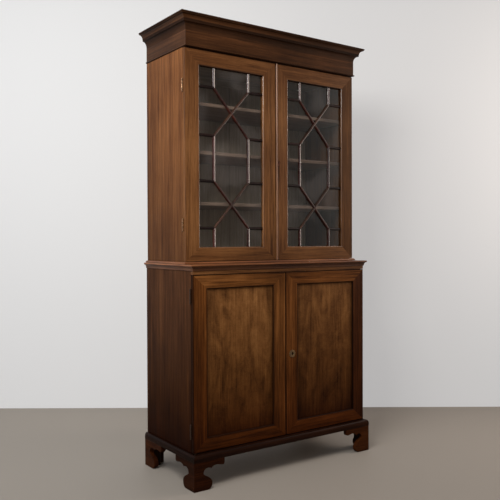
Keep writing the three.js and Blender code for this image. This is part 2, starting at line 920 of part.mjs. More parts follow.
// Slide bolts
function slidePlaces(kind) {
  const plate_top = kind.ceiling - slide_plate_drop;
  return {
    x: hinge_offset + kind.width - slide_inset,
    y: slide_axis_back,
    plate_z: [plate_top - slide_plate_height, plate_top],
    bolt_top: kind.ceiling - slide_clear,
  };
}

function slidePlate(kind) {
  const { x, y, plate_z } = slidePlaces(kind);
  const half = slide_plate_width / 2;
  const plate = board(
    [x - half, x + half], [door_back + fit, door_back + slide_plate_thickness], plate_z,
  );
  const loop_half = slide_loop_width / 2;
  const loop_back = y + slide_radius + slide_loop_wall;
  const loops = [plate_z[0], plate_z[1] - slide_loop_height].map((z) =>
    board([x - loop_half, x + loop_half], [door_back + fit * 2, loop_back], [z, z + slide_loop_height]),
  );
  const bore = boreFor(slide_radius, slide_plate_height + cut_over);
  bore.translate(x, y, (plate_z[0] + plate_z[1]) / 2);
  return cut(join([plate, ...loops]), [bore]);
}

function slideBolt(kind) {
  const { x, y, bolt_top, plate_z } = slidePlaces(kind);
  const rod = cylinder(slide_radius, slide_length);
  rod.translate(x, y, bolt_top - slide_length / 2);
  const knob = new THREE.CylinderGeometry(slide_knob_radius, slide_knob_radius, slide_knob_length, 10);
  const knob_z = plate_z[0] + slide_loop_height + slide_throw;
  knob.translate(x, y + slide_knob_length / 2, knob_z);
  return join([rod, knob]);
}

// Glazing bars: an astragal section on every line of the pattern, with a round boss at each node
function barOutline() {
  const half = bar_width / 2;
  const bead = half - bar_shoulder;
  return anticlockwise([
    new THREE.Vector2(-half, 0),
    new THREE.Vector2(half, 0),
    new THREE.Vector2(half, bar_base),
    ...quarter([0, bar_base], [bead, bar_depth - bar_base], 0, 1, 3),
    ...quarter([0, bar_base], [bead, bar_depth - bar_base], 1, 2, 3).slice(1),
    new THREE.Vector2(-half, bar_base),
  ]);
}

function barBetween([x0, z0], [x1, z1], base) {
  const along = new THREE.Vector2(x1 - x0, z1 - z0).normalize();
  const place = (x, z) => (p) => new THREE.Vector3(x - along.y * p.x, base - p.y, z + along.x * p.x);
  return loft(barOutline(), [place(x0, z0), place(x1, z1)]);
}

function barBoss([x, z], base) {
  const half = barOutline().filter((p) => p.x > 0);
  half.sort((a, b) => a.y - b.y);
  const profile = [
    new THREE.Vector2(0, 0), ...half, new THREE.Vector2(0, bar_depth),
  ];
  const boss = new THREE.LatheGeometry(profile, 12);
  return facingOut(bare(boss).scale(1, -1, 1).translate(x, base, z));
}

function glazingBars(kind) {
  const { x, z } = openingOf(kind);
  const base = door_face + glass_lip;
  const [x0, x1] = [x[0] + fit, x[1] - fit];
  const [z0, z1] = [z[0] + fit, z[1] - fit];
  const [left, right] = bar_column_shares.map((share) => x[0] + share * (x[1] - x[0]));
  const [low, mid_low, mid_high, high] = bar_row_shares.map((share) => z[0] + share * (z[1] - z[0]));
  const lines = [
    [[left, low], [right, mid_low]],
    [[right, low], [left, mid_low]],
    [[left, mid_high], [right, high]],
    [[right, mid_high], [left, high]],
  ];
  for (const column of [left, right]) {
    lines.push([[column, z0], [column, low]]);
    lines.push([[column, mid_low], [column, mid_high]]);
    lines.push([[column, high], [column, z1]]);
  }
  const bosses = [];
  for (const row of [low, mid_low, mid_high, high]) {
    lines.push([[x0, row], [left, row]]);
    lines.push([[right, row], [x1, row]]);
    bosses.push(barBoss([left, row], base), barBoss([right, row], base));
  }
  return join([...lines.map(([from, to]) => barBetween(from, to, base)), ...bosses]);
}

// The panel or the glass, in the frame's groove
function filling(kind) {
  const { x, z } = openingOf(kind);
  const near = door_face + kind.lip + fit;
  const margin = kind.groove - fit;
  return board(widened(x, margin), [near, near + kind.filling], widened(z, margin));
}

function astragal(kind) {
  const edge = hinge_offset + kind.width;
  const half = astragal_width / 2;
  const crown = new THREE.EllipseCurve(0, 0, half, astragal_projection, 0, Math.PI);
  const place = (z) => (p) => new THREE.Vector3(edge - half + p.x, door_face - fit - p.y, z);
  return loft(anticlockwise(crown.getPoints(8)), [place(kind.bottom), place(kind.top)]);
}

// A thin brass lining let into the upper keyhole
function keyholeInsert(kind) {
  const { key_x } = lockPlaces(kind);
  const near = door_face - insert_projection;
  const thickness = insert_depth + insert_projection;
  const outer = keyholeCutter(key_x, kind.keyhole_z, near, thickness, insert_rim);
  const hole = keyholeCutter(key_x, kind.keyhole_z, near - cut_over, thickness + 2 * cut_over);
  return cut(outer, [hole]);
}

function keyholeSeat(kind) {
  const { key_x } = lockPlaces(kind);
  const near = door_face - cut_over;
  return keyholeCutter(key_x, kind.keyhole_z, near, cut_over + insert_depth + fit, insert_rim + fit);
}

// A round turned escutcheon with a keyhole, planted on the lower door
function roundEscutcheon(kind) {
  const { key_x } = lockPlaces(kind);
  const rim = escutcheon_radius - escutcheon_step;
  const profile = [
    new THREE.Vector2(0, 0),
    new THREE.Vector2(escutcheon_radius, 0),
    new THREE.Vector2(escutcheon_radius, escutcheon_thickness / 2),
    new THREE.Vector2(rim, escutcheon_thickness),
    new THREE.Vector2(0, escutcheon_thickness),
  ];
  const disc = bare(new THREE.LatheGeometry(profile, 24));
  disc.scale(1, -1, 1).translate(key_x, door_face - fit, kind.keyhole_z - escutcheon_drop);
  const near = door_face - escutcheon_thickness - cut_over;
  const hole = keyholeCutter(key_x, kind.keyhole_z, near, escutcheon_thickness + 2 * cut_over);
  return cut(facingOut(disc), [hole]);
}

// Doors: pieces drawn for the left, and mirrored for the right
function addDoor(group, row, hand) {
  const kind = kinds[row];
  const side = hand === "left" ? 1 : -1;
  const name = `${row}_${hand}_door`;
  const door = new THREE.Group();
  door.position.set(-side * kind.axis_x, kind.axis_y, 0);
  group.add(door);
  const add = (piece, geometry, material) =>
    mesh(door, `${name}_${piece}`, handed(geometry, side), material);

  const cutters = leafRecesses(kind);
  if (hand === "right") cutters.push(...lockPocket(kind));
  if (hand === "right" && row === "upper") cutters.push(keyholeSeat(kind));
  if (hand === "left") cutters.push(lockMortise(kind));
  add("frame", cut(doorFrame(kind), cutters), door_wood);

  if (row === "upper") {
    add("glazing_bars", glazingBars(kind), bar_wood);
    add("glass", filling(kind), glass);
  } else {
    add("panel", filling(kind), panel_wood);
  }

  const leaf = hingeLeaf(kind.hinge_height, false);
  kind.hinge_levels.forEach((z, i) => {
    const level = i ? "top" : "bottom";
    add(`${level}_hinge_leaf`, leaf.clone().translate(0, 0, z), brass);
  });

  if (hand === "left") {
    add("bolt_plate", slidePlate(kind), brass);
    add("bolt", slideBolt(kind), brass);
    return;
  }
  add("lock", lockCase(kind), steel);
  add("lock_bolt", lockBolt(kind), brass);
  if (row === "upper") {
    add("astragal", astragal(kind), dark_wood);
    add("keyhole_lining", keyholeInsert(kind), brass);
  } else {
    add("escutcheon", roundEscutcheon(kind), brass);
  }
}

// The hinge leaves that stay on the case
function addFixedLeaves(group, row) {
  const kind = kinds[row];
  const leaf = hingeLeaf(kind.hinge_height, true);
  for (const [hand, side] of [["left", 1], ["right", -1]]) {
    kind.hinge_levels.forEach((z, i) => {
      const level = i ? "top" : "bottom";
      const made = mesh(group, `${row}_${hand}_${level}_case_leaf`, handed(leaf, side), brass);
      made.position.set(-side * kind.axis_x, kind.axis_y, z);
    });
  }
}

addFeet(bookcase);
addBaseMoulding(bookcase);
addCupboard(bookcase);
addWaistMoulding(bookcase);
addGlazedCase(bookcase);
addCornice(bookcase);
for (const row of ["lower", "upper"]) {
  addFixedLeaves(bookcase, row);
  for (const hand of ["left", "right"]) addDoor(bookcase, row, hand);
}

export default bookcase;
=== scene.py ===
# %% [markdown]
# A mahogany bookcase in two parts: a glazed case with a moulded cornice, standing on a cupboard
# with bracket feet. The solids come ready made, in metres, with Z up and the doors facing -Y.
# This lesson dresses them. Mouldings, feet, door frames, glazing bars, panes and brass fittings
# are modelled again with finer curves, and every surface gets wood, brass or glass from nodes.

# %% Load the solids
import json
from itertools import product
from math import asin, cos, pi, radians, sin

import bpy
from mathutils import Euler, Matrix, Vector


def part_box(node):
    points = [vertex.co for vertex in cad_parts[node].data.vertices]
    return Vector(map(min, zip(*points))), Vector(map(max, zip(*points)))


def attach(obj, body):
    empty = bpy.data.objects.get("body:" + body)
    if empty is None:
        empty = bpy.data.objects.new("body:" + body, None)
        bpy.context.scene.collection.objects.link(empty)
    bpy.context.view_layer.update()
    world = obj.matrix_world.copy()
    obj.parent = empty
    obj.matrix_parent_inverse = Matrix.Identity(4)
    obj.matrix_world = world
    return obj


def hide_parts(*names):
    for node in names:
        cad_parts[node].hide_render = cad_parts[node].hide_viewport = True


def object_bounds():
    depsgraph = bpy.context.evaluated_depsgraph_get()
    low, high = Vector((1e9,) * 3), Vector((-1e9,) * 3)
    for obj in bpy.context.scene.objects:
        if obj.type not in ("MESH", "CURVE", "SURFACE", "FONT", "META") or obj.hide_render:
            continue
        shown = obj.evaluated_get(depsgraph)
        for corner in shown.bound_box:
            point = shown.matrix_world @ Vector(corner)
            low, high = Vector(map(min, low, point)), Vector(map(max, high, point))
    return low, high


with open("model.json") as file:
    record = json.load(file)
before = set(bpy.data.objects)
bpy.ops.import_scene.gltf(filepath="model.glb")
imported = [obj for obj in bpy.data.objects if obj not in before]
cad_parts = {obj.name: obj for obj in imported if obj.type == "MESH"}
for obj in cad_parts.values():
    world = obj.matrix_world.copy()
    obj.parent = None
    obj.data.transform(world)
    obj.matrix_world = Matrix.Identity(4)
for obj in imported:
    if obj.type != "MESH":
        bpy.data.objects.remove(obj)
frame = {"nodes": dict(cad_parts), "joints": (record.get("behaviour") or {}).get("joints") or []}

cad_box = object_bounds()
MM = 0.001

# %% [markdown]
# The camera stands where the photo was taken: left of the middle, at chest height, turned about
# 35 degrees. It could be aimed with a Track To constraint, but plain angles keep it exact.

# %% Camera
YAW, PITCH, ROLL = 0.6141, -0.0134, -0.0034
EYE = Vector((-2.1177, -2.9126, 1.1451))
FOCAL_LENGTH, FILM_WIDTH = 49.084, 36

camera_data = bpy.data.cameras.new("camera")
camera_data.sensor_fit = "HORIZONTAL"
camera_data.sensor_width = FILM_WIDTH
camera_data.lens = FOCAL_LENGTH
camera_data.clip_end = 60
camera = bpy.data.objects.new("camera", camera_data)
camera.location = EYE
aim = Euler((pi / 2 + PITCH, 0, -YAW))
aim.rotate_axis("Z", ROLL)
camera.rotation_euler = aim
bpy.context.scene.collection.objects.link(camera)
bpy.context.scene.camera = camera
print("camera at", tuple(EYE))

# %% [markdown]
# Shader maths reads best as arithmetic. This class wraps the output of a node, so that an
# expression such as 1 - mask adds its own Math node. The methods that Python calls for each
# operator, and for its reflected form, are all made by one function.

# %% Shader arithmetic
def math_node(operation, swapped=False):
    """A method of Wire that adds one Math node."""

    def method(self, other=0.0):
        a, b = (other, self) if swapped else (self, other)
        return self.finish.node("ShaderNodeMath", {"operation": operation}, {0: a, 1: b})

    return method


class Wire:
    """The output of a node, ready for arithmetic."""

    def __init__(self, finish, socket):
        self.finish, self.socket = finish, socket

    __add__ = __radd__ = math_node("ADD")
    __mul__ = __rmul__ = math_node("MULTIPLY")
    __sub__, __rsub__ = math_node("SUBTRACT"), math_node("SUBTRACT", swapped=True)
    __truediv__, __rtruediv__ = math_node("DIVIDE"), math_node("DIVIDE", swapped=True)
    __pow__, __rpow__ = math_node("POWER"), math_node("POWER", swapped=True)
    __mod__, __rmod__ = math_node("FLOORED_MODULO"), math_node("FLOORED_MODULO", swapped=True)
    __abs__ = math_node("ABSOLUTE")


# %% [markdown]
# All other nodes come from one method. It sets a plain value on the socket itself and links a
# Wire, so a finish reads as a short list of what feeds what.

# %% Shader nodes
class Finish:
    """A material under construction."""

    def __init__(self, name):
        self.material = bpy.data.materials.new(name)
        self.material.use_nodes = True
        self.tree = self.material.node_tree
        self.tree.nodes.clear()

    def node(self, kind, settings=None, values=None, output=0):
        made_node = self.tree.nodes.new(kind)
        for key, value in (settings or {}).items():
            if key == "stops":
                ramp = made_node.color_ramp
                while len(ramp.elements) < len(value):
                    ramp.elements.new(0.5)
                for element, (place, color) in zip(ramp.elements, value):
                    element.position = place
                    element.color = (*color, 1)
            else:
                setattr(made_node, key, value)
        for key, value in (values or {}).items():
            socket = made_node.inputs[key]
            if isinstance(value, Wire):
                self.tree.links.new(value.socket, socket)
            else:
                socket.default_value = value
        return Wire(self, made_node.outputs[output]) if made_node.outputs else None

    def place(self):
        return self.node("ShaderNodeTexCoord", output="Object")

    def stretched(self, vector, scale):
        return self.node("ShaderNodeMapping", {}, {"Vector": vector, "Scale": scale})

    def noise(self, vector, scale, detail=3.0, roughness=0.5, distortion=0.0):
        values = {
            "Vector": vector, "Scale": scale, "Detail": detail,
            "Roughness": roughness, "Distortion": distortion,
        }
        return self.node("ShaderNodeTexNoise", {}, values)

    def between(self, value, low, high, out_low=0.0, out_high=1.0):
        values = {0: value, 1: low, 2: high, 3: out_low, 4: out_high}
        return self.node("ShaderNodeMapRange", {"interpolation_type": "SMOOTHSTEP"}, values)

    def mix(self, factor, a, b, blend="MIX"):
        settings = {"data_type": "RGBA", "blend_type": blend}
        return self.node("ShaderNodeMix", settings, {0: factor, 6: a, 7: b}, 2)

    def ramp(self, factor, stops):
        return self.node("ShaderNodeValToRGB", {"stops": stops}, {0: factor})

    def parts(self, vector):
        return [self.node("ShaderNodeSeparateXYZ", {}, {0: vector}, axis) for axis in range(3)]

    def noted(self, attribute):
        return self.node("ShaderNodeAttribute", {"attribute_name": attribute}, {}, "Fac")

    def bump(self, height, strength, distance):
        values = {"Height": height, "Strength": strength, "Distance": distance}
        return self.node("ShaderNodeBump", {}, values)

    def mixed(self, factor, shader, other):
        return self.node("ShaderNodeMixShader", {}, {0: factor, 1: shader, 2: other})

    def finish(self, shader):
        self.node("ShaderNodeOutputMaterial", {}, {"Surface": shader})
        return self.material

    def surface(self, values):
        return self.finish(self.node("ShaderNodeBsdfPrincipled", {}, values))


def srgb(red, green, blue):
    """A colour as seen on a screen, 0 to 255, as linear light."""
    return tuple(
        (c / 255 / 12.92) if c <= 10 else ((c / 255 + 0.055) / 1.055) ** 2.4
        for c in (red, green, blue)
    )


# %% [markdown]
# The room is a plain pale floor and a plain pale wall square to the camera. Half of the wall's
# paleness is plain background, which the camera, polish and glass see, so that the wall needs no
# more light on the bookcase. From behind, the wall lets the eye through to the back boards.

# %% Floor and wall
bpy.context.scene.view_settings.view_transform = "Standard"
FLOOR_PAINT = {
    "Base Color": (0.305, 0.276, 0.245, 1), "Roughness": 0.6, "Specular IOR Level": 0.2
}
WALL_PAINT = {"Base Color": (0.8, 0.805, 0.81, 1), "Roughness": 0.9, "Specular IOR Level": 0.2}
BACKGROUND = {"Color": (0.7, 0.7, 0.71, 1)}
BACKGROUND_SHARE = 0.5
ROOM_DEPTH = 4.67


def stage_plane(name, location, turn, material):
    bpy.ops.object.select_all(action="DESELECT")
    bpy.ops.mesh.primitive_plane_add(size=30, location=location, rotation=turn)
    plane = bpy.context.object
    plane.name = name
    plane.data.materials.append(material)


wall = Finish("wall")
seen = sum(
    wall.node("ShaderNodeLightPath", output=ray)
    for ray in ("Is Camera Ray", "Is Glossy Ray", "Is Transmission Ray")
)
paint = wall.node("ShaderNodeBsdfPrincipled", {}, WALL_PAINT)
background = wall.node("ShaderNodeEmission", {}, BACKGROUND)
front = wall.mixed(seen * BACKGROUND_SHARE, paint, background)
behind = wall.node("ShaderNodeNewGeometry", output="Backfacing")
wall_finish = wall.finish(wall.mixed(behind, front, wall.node("ShaderNodeBsdfTransparent")))

ahead = ROOM_DEPTH * Vector((sin(YAW), cos(YAW), 0))
stage_plane("floor", (0, 0, 0), (0, 0, 0), Finish("floor").surface(FLOOR_PAINT))
stage_plane("wall", (EYE.x + ahead.x, EYE.y + ahead.y, 6), (pi / 2, 0, -YAW), wall_finish)
print("wall", ROOM_DEPTH, "m from the camera")

# %% [markdown]
# One soft lamp hangs near the top of the bookcase on the left, so the light falls off towards the
# feet. A taller one fills in from further left, like a window, another lights the wall, and a
# narrow one on the right draws a line of light down the glazing bars. Area lamps are used because
# a large lamp gives the soft edges of daylight.

# %% Lamps
# name: place, what it points at, width and height, watts, colour
LAMPS = {
    "high_light": ((-1.75, -1.35, 2.65), (-0.2, 0, 1.7), (0.9, 0.9), 49, (1, 0.97, 0.93)),
    "window_light": ((-3.1, -0.9, 2.2), (-0.5, 0.3, 1.7), (0.9, 1.8), 21, (1, 0.98, 0.96)),
    "wall_light": ((-2.7, 0.1, 3.0), (-1.1, 1.7, 1.7), (2, 2), 20, (0.97, 0.99, 1)),
    "bar_light": ((2.35, -1.04, 1.95), (0.0, -0.6, 1.8), (0.55, 1.9), 32, (1, 0.85, 0.74)),
}
WALL_SPREAD = radians(110)
ROOM_LIGHT, ROOM_STRENGTH = (1, 0.97, 0.94, 1), 0.28

for name, (location, target, size, watts, color) in LAMPS.items():
    data = bpy.data.lights.new(name, "AREA")
    data.shape = "RECTANGLE"
    data.size, data.size_y = size
    data.energy, data.color = watts, color
    lamp = bpy.data.objects.new(name, data)
    lamp.location = location
    lamp.rotation_euler = (Vector(target) - lamp.location).to_track_quat("-Z", "Y").to_euler()
    bpy.context.scene.collection.objects.link(lamp)
bpy.data.lights["wall_light"].spread = WALL_SPREAD

world = bpy.data.worlds.new("room")
world.use_nodes = True
room = world.node_tree.nodes["Background"].inputs
room["Color"].default_value, room["Strength"].default_value = ROOM_LIGHT, ROOM_STRENGTH
bpy.context.scene.world = world
print("lamps:", len(LAMPS))

# %% [markdown]
# Mouldings are planed: one section, the same from end to end, then cut to length with a saw. The
# helpers below do the same. One vertex is extruded from point to point to draw the section, the
# outline is filled, the face is extruded to a length, and bisect is the mitre saw. A section could
# also be a bevelled curve, but a solid drawn this way keeps flat, closed ends.

# %% Plane and saw
X, Y, Z = Vector((1, 0, 0)), Vector((0, 1, 0)), Vector((0, 0, 1))
SAME_POINT = 0.005 * MM


def pick(piece):
    """Leaves one piece selected and active."""
    bpy.ops.object.select_all(action="DESELECT")
    piece.select_set(True)
    bpy.context.view_layer.objects.active = piece


def start_edit(piece):
    pick(piece)
    bpy.ops.object.mode_set(mode="EDIT")
    bpy.ops.mesh.select_all(action="SELECT")


def end_edit():
    bpy.ops.object.mode_set(mode="OBJECT")


def settled(name):
    """Names the active piece, and leaves it at the origin, unturned and unscaled."""
    piece = bpy.context.object
    piece.name = name
    bpy.ops.object.transform_apply(location=True, rotation=True, scale=True)
    return piece


def planed(name, section, origin, across, up, along):
    """A closed section of (across, up) points, drawn from origin, filled and extruded along."""
    points = [Vector(origin) + a * across + b * up for a, b in section]
    bpy.ops.object.select_all(action="DESELECT")
    bpy.ops.mesh.primitive_plane_add(size=MM, location=points[0])
    bpy.ops.object.mode_set(mode="EDIT")
    bpy.ops.mesh.select_all(action="SELECT")
    bpy.ops.mesh.merge(type="CENTER")
    for here, there in zip(points, points[1:]):
        bpy.ops.mesh.extrude_region_move(TRANSFORM_OT_translate={"value": there - here})
    bpy.ops.mesh.select_all(action="SELECT")
    bpy.ops.mesh.edge_face_add()
    bpy.ops.mesh.extrude_region_move(TRANSFORM_OT_translate={"value": along})
    bpy.ops.mesh.select_all(action="SELECT")
    bpy.ops.mesh.remove_doubles(threshold=SAME_POINT)
    bpy.ops.mesh.normals_make_consistent(inside=False)
    end_edit()
    return settled(name)


def sawn(piece, point, normal):
    """Cuts away what lies behind the plane through point, and closes the cut."""
    start_edit(piece)
    bpy.ops.mesh.bisect(plane_co=point, plane_no=normal, use_fill=True, clear_inner=True)
    end_edit()
    return piece


# %% [markdown]
# Modifiers do the work of the scraper and the chisel: a bevel takes the sharpness off an edge,
# and a boolean cuts one piece out of another. Each is applied at once, so that the next tool
# meets the real shape.

# %% Scraper and chisel
SMOOTH_BELOW = radians(32)


def modified(piece, kind, **settings):
    modifier = piece.modifiers.new(kind.lower(), kind)
    for key, value in settings.items():
        setattr(modifier, key, value)
    pick(piece)
    bpy.ops.object.modifier_apply(modifier=modifier.name)
    return piece


def eased(piece, width, segments=2, angle=40):
    """Takes the sharpness off every edge that turns by more than angle."""
    limits = {"limit_method": "ANGLE", "angle_limit": radians(angle)}
    return modified(piece, "BEVEL", width=width, segments=segments, **limits)


def chopped(piece, cutter, operation="DIFFERENCE"):
    """Cuts one piece with another, or joins them, and throws the second away."""
    modified(piece, "BOOLEAN", operation=operation, solver="EXACT", object=cutter)
    bpy.data.objects.remove(cutter)
    return piece


def smooth(piece):
    pick(piece)
    bpy.ops.object.shade_smooth_by_angle(angle=SMOOTH_BELOW)
    return piece


# %% [markdown]
# The rest of the workshop: sawn blocks, round bars, copies with their own mesh, and arcs for
# drawing sections. A number can be noted on each face for the finish to read, such as where old
# polish or dust has gathered, or where shade is painted dark. Every piece is kept with the body it
# rides on and the solid it stands for.

# %% Blocks, bars and copies
def block(name, low, high):
    """A sawn block between two corners, to be cut or eased further."""
    low, high = Vector(low), Vector(high)
    bpy.ops.object.select_all(action="DESELECT")
    bpy.ops.mesh.primitive_cube_add(size=1, location=(low + high) / 2)
    bpy.context.object.scale = high - low
    return settled(name)


def turned(name, location, axis, radius, length, sides=32):
    """A round bar, centred on location, with its length along X, Y or Z."""
    turn = {"X": (0, pi / 2, 0), "Y": (pi / 2, 0, 0), "Z": (0, 0, 0)}[axis]
    bpy.ops.object.select_all(action="DESELECT")
    bpy.ops.mesh.primitive_cylinder_add(
        vertices=sides, radius=radius, depth=length, location=location, rotation=turn
    )
    return settled(name)


def copied(piece, name, move=(0, 0, 0), mirror=False):
    """A copy with its own mesh, moved, and mirrored across the middle of the bookcase if asked."""
    twin = piece.copy()
    twin.data = piece.data.copy()
    bpy.context.scene.collection.objects.link(twin)
    twin.location = move
    twin.scale = (-1 if mirror else 1, 1, 1)
    pick(twin)
    settled(name)
    if mirror:
        start_edit(twin)
        bpy.ops.mesh.normals_make_consistent(inside=False)
        end_edit()
    return twin


def arc(centre, radii, start, end, steps=10):
    """Points on part of an ellipse, with start and end in quarter turns."""
    turns = [(start + (end - start) * i / steps) * pi / 2 for i in range(steps + 1)]
    return [(centre[0] + radii[0] * cos(t), centre[1] + radii[1] * sin(t)) for t in turns]


def note(piece, attribute, amount):
    """Notes a number on every face; amount works it out from the face."""
    notes = piece.data.attributes.new(attribute, "FLOAT", "FACE")
    for face, entry in zip(piece.data.polygons, notes.data):
        entry.value = amount(face)


made = {}


def keep(piece, body, finish, slot, *nodes):
    """Evens the shading, and notes what a piece rides on, its finish and what it stands for."""
    modified(piece, "WEIGHTED_NORMAL", keep_sharp=True)
    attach(piece, body)
    if nodes:
        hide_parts(*nodes)
    made[piece.name] = (piece, finish)


# %% [markdown]
# A run of moulding goes round the front and both sides: three lengths of one section that meet
# in mitres at the front corners. The right-hand length is a mirrored copy of the left.

# %% Runs of moulding
BACK = cad_box[1].y
GAP = 0.3 * MM
SAW_GAP = 0.1 * MM
SPARE = 0.1


def beside(level, *points):
    """(out, height) points from pairs in millimetres: out, and up from a level."""
    return [(out * MM, level + up * MM) for out, up in points]


def run_around(name, section, half, face, finishes, node, seat_face=None, marks=()):
    """Three mitred lengths of one section, given as (out, height) points.

    The innermost points lie against the case. On the front length they reach back to seat_face, if
    that is given. The finishes are for the ends and the front, and the marks say between which
    heights the wood is painted darker, and how dark it is.
    """
    inner = min(out for out, _ in section)
    seat = inner if seat_face is None else face - seat_face
    seated = [(seat if out == inner else out, z) for out, z in section]
    start, front_start = (-half, face - SPARE, 0), (-half - SPARE, face, 0)
    left = planed(f"{name}_left", section, start, -X, Z, (BACK - face + SPARE) * Y)
    front = planed(f"{name}_front", seated, front_start, -Y, Z, 2 * (half + SPARE) * X)
    for piece, side, way in ((left, -1, 1), (front, -1, -1), (front, 1, -1)):
        away = way * Vector((side, 1, 0)).normalized()
        sawn(piece, Vector((side * half, face, 0)) + SAW_GAP * away, away)
    right = copied(left, f"{name}_right", mirror=True)

    def darkness(face):
        return next((dark for low, high, dark in marks if low < face.center.z < high), 0.0)

    for piece, side in ((left, "left"), (front, "front"), (right, "right")):
        note(smooth(piece), "old_polish", darkness)
        keep(piece, "case", finishes[side == "front"], "dark_wood", node.format(side))
    print(name, "points in the section:", len(section))


# %% [markdown]
# The cornice is a frieze with a small bead at its foot and two hollows at its head. The hollows and
# the underside of the bead are painted dark as the shade that falls in them, and the narrow bands
# at the top are painted darker, so those heights are marked dark.

# %% Cornice
CORNICE_SEAT = -22
FRIEZE_OUT, FRIEZE_FORWARD = 0.5 * MM, 10 * MM
case_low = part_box("upper_side_left")[0]
front_low, front_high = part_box("cornice_front")
upper_half = -case_low.x
upper_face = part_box("upper_left_door_frame")[0].y
TOP, FOOT = front_high.z, front_low.z
BEAD = 8 * MM

cornice_section = (
    beside(FOOT, (CORNICE_SEAT, 0))
    + arc((0, FOOT + BEAD / 2), (5 * MM, BEAD / 2), -1, 1)
    + arc((20 * MM, TOP - 73 * MM), (20 * MM, 33 * MM), 2, 1, 14)
    + beside(TOP, (21.5, -40), (21.5, -33.5))
    + arc((39.5 * MM, TOP - 32.5 * MM), (17 * MM, 22 * MM), 2, 1, 14)
    + beside(TOP, (41.2, -10.5), (41.2, -7), (43.4, -7), (44, -6.4), (44, -0.8), (43.2, 0))
    + beside(TOP, (CORNICE_SEAT, 0))
)
# heights painted darker: painted shade in the two hollows and under the bead, and darker bands at
# the top
cornice_marks = [
    (TOP - 7.2 * MM, TOP - 0.1 * MM, 0.6),
    (TOP - 12 * MM, TOP - 7.2 * MM, 0.35),
    (TOP - 40.5 * MM, TOP - 28 * MM, 0.85),
    (TOP - 72 * MM, TOP - 40.5 * MM, 0.5),
    (FOOT, FOOT + 0.3 * BEAD, 0.8),
]
run_around(
    "cornice_run", cornice_section, upper_half + FRIEZE_OUT, upper_face - FRIEZE_FORWARD,
    ("frieze_end_Y", "frieze_X"), "cornice_{}", front_high.y, cornice_marks,
)

# %% [markdown]
# Three more mouldings go round the cupboard: a rounded base moulding on the feet, a waist
# moulding with a hollow under its nose, and a small bead that keeps the glazed case in its place.

# %% Base moulding, waist moulding and locating bead
lower_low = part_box("lower_side_left")[0]
lower_half, lower_front = -lower_low.x, lower_low.y
lower_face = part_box("lower_left_door_frame")[0].y
base_low, base_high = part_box("base_moulding")
waist_low, waist_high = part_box("waist_moulding")
WAIST_FOOT, WAIST_TOP = waist_low.z, waist_high.z

out = -base_low.x - lower_half - GAP
base_section = (
    [(0, base_low.z), (out - 0.6 * MM, base_low.z), (out, base_low.z + 0.6 * MM)]
    + arc((5 * MM, base_high.z - 20 * MM), (out - 5 * MM, 20 * MM), 0, 1, 12)
    + [(0, base_high.z)]
)
run_around(
    "base_run", base_section, lower_half + GAP, base_low.y + out,
    ("dark_Y", "dark_X"), "base_moulding", lower_front - GAP,
)

nose = -waist_low.x - lower_half - GAP
waist_section = (
    beside(WAIST_FOOT, (0, 0), (2.4, 0), (3, 0.6), (3, 2.4))
    + arc((nose - 2 * MM, WAIST_FOOT + 2.6 * MM), (nose - 5.4 * MM, 15.8 * MM), 2, 1, 12)
    + [(nose - 1.6 * MM, WAIST_FOOT + 19.2 * MM)]
    + arc((nose - 4 * MM, WAIST_TOP - 4.4 * MM), (4 * MM, 4.4 * MM), -0.9, 1, 10)
    + [(0, WAIST_TOP)]
)
run_around(
    "waist_run", waist_section, lower_half + GAP, lower_face - GAP,
    ("waist_Y", "waist_X"), "waist_moulding",
    # the hollow under the nose is painted dark as shade
    marks=[(WAIST_FOOT, WAIST_FOOT + 18 * MM, 0.5)],
)

bead_section = (
    [(0, WAIST_TOP + GAP), (11.2 * MM, WAIST_TOP + GAP), (11.5 * MM, WAIST_TOP + 0.8 * MM)]
    + arc((1.5 * MM, WAIST_TOP + 2.5 * MM), (10 * MM, 8 * MM), 0, 1)
    + [(0, WAIST_TOP + 10.5 * MM)]
)
run_around(
    "locating_bead", bead_section, upper_half + GAP, upper_face,
    ("waist_Y", "waist_X"), "lower_top", case_low.y - GAP,
)

# %% [markdown]
# The cupboard's top is a board on a rail over the doors. The inner rail behind it stops the
# doors, and has a hole for the slide bolt of the left door.

# %% Top of the cupboard
top_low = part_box("lower_top")[0]
bolt_low, bolt_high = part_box("lower_left_door_bolt")
INSIDE = 20.3 * MM
TOP_BOARD, RAIL_DEPTH = 22 * MM, 40 * MM
HOLE_RADIUS, HOLE_LENGTH = 3.4 * MM, 28 * MM
BOARD_FOOT = WAIST_TOP - TOP_BOARD

top_board = block(
    "cupboard_top", (-lower_half, lower_face, BOARD_FOOT), (lower_half, BACK, WAIST_TOP)
)
rail = block(
    "rail_over_doors",
    (-lower_half, lower_face, top_low.z),
    (lower_half, lower_front - GAP, BOARD_FOOT - SAW_GAP),
)
inner_rail = block(
    "inner_rail",
    (INSIDE - lower_half, lower_front, top_low.z),
    (lower_half - INSIDE, lower_face + RAIL_DEPTH, BOARD_FOOT - SAW_GAP),
)
bolt_place = ((bolt_low.x + bolt_high.x) / 2, bolt_low.y + 3 * MM, top_low.z)
bolt_hole = turned("bolt_hole", bolt_place, "Z", HOLE_RADIUS, HOLE_LENGTH)
chopped(eased(inner_rail, 0.6 * MM), bolt_hole)
keep(eased(top_board, 0.5 * MM), "case", "waist_X", "side_wood", "lower_top")
keep(eased(rail, 0.6 * MM), "case", "door_X", "door_wood", "lower_top")
keep(inner_rail, "case", "inner_X", "inner_wood", "lower_top")
print("pieces so far:", len(made))

# %% [markdown]
# A bracket foot is sawn from a thick board along a drawn line: a swelling pad, a narrow neck and
# a cusped shoulder under the base moulding. The line is a chain of cubic curves, in shares of the
# bracket's length and height. The bracket at the back is plain, as nobody sees it.

# %% Outlines of the brackets
FOOT_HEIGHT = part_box("foot_front_left")[1].z
FOOT_CHAMFER = 0.6 * MM
ACROSS_LENGTH, BESIDE_LENGTH = 165 * MM, 175 * MM
BRACKET_START = (0.436, 0)
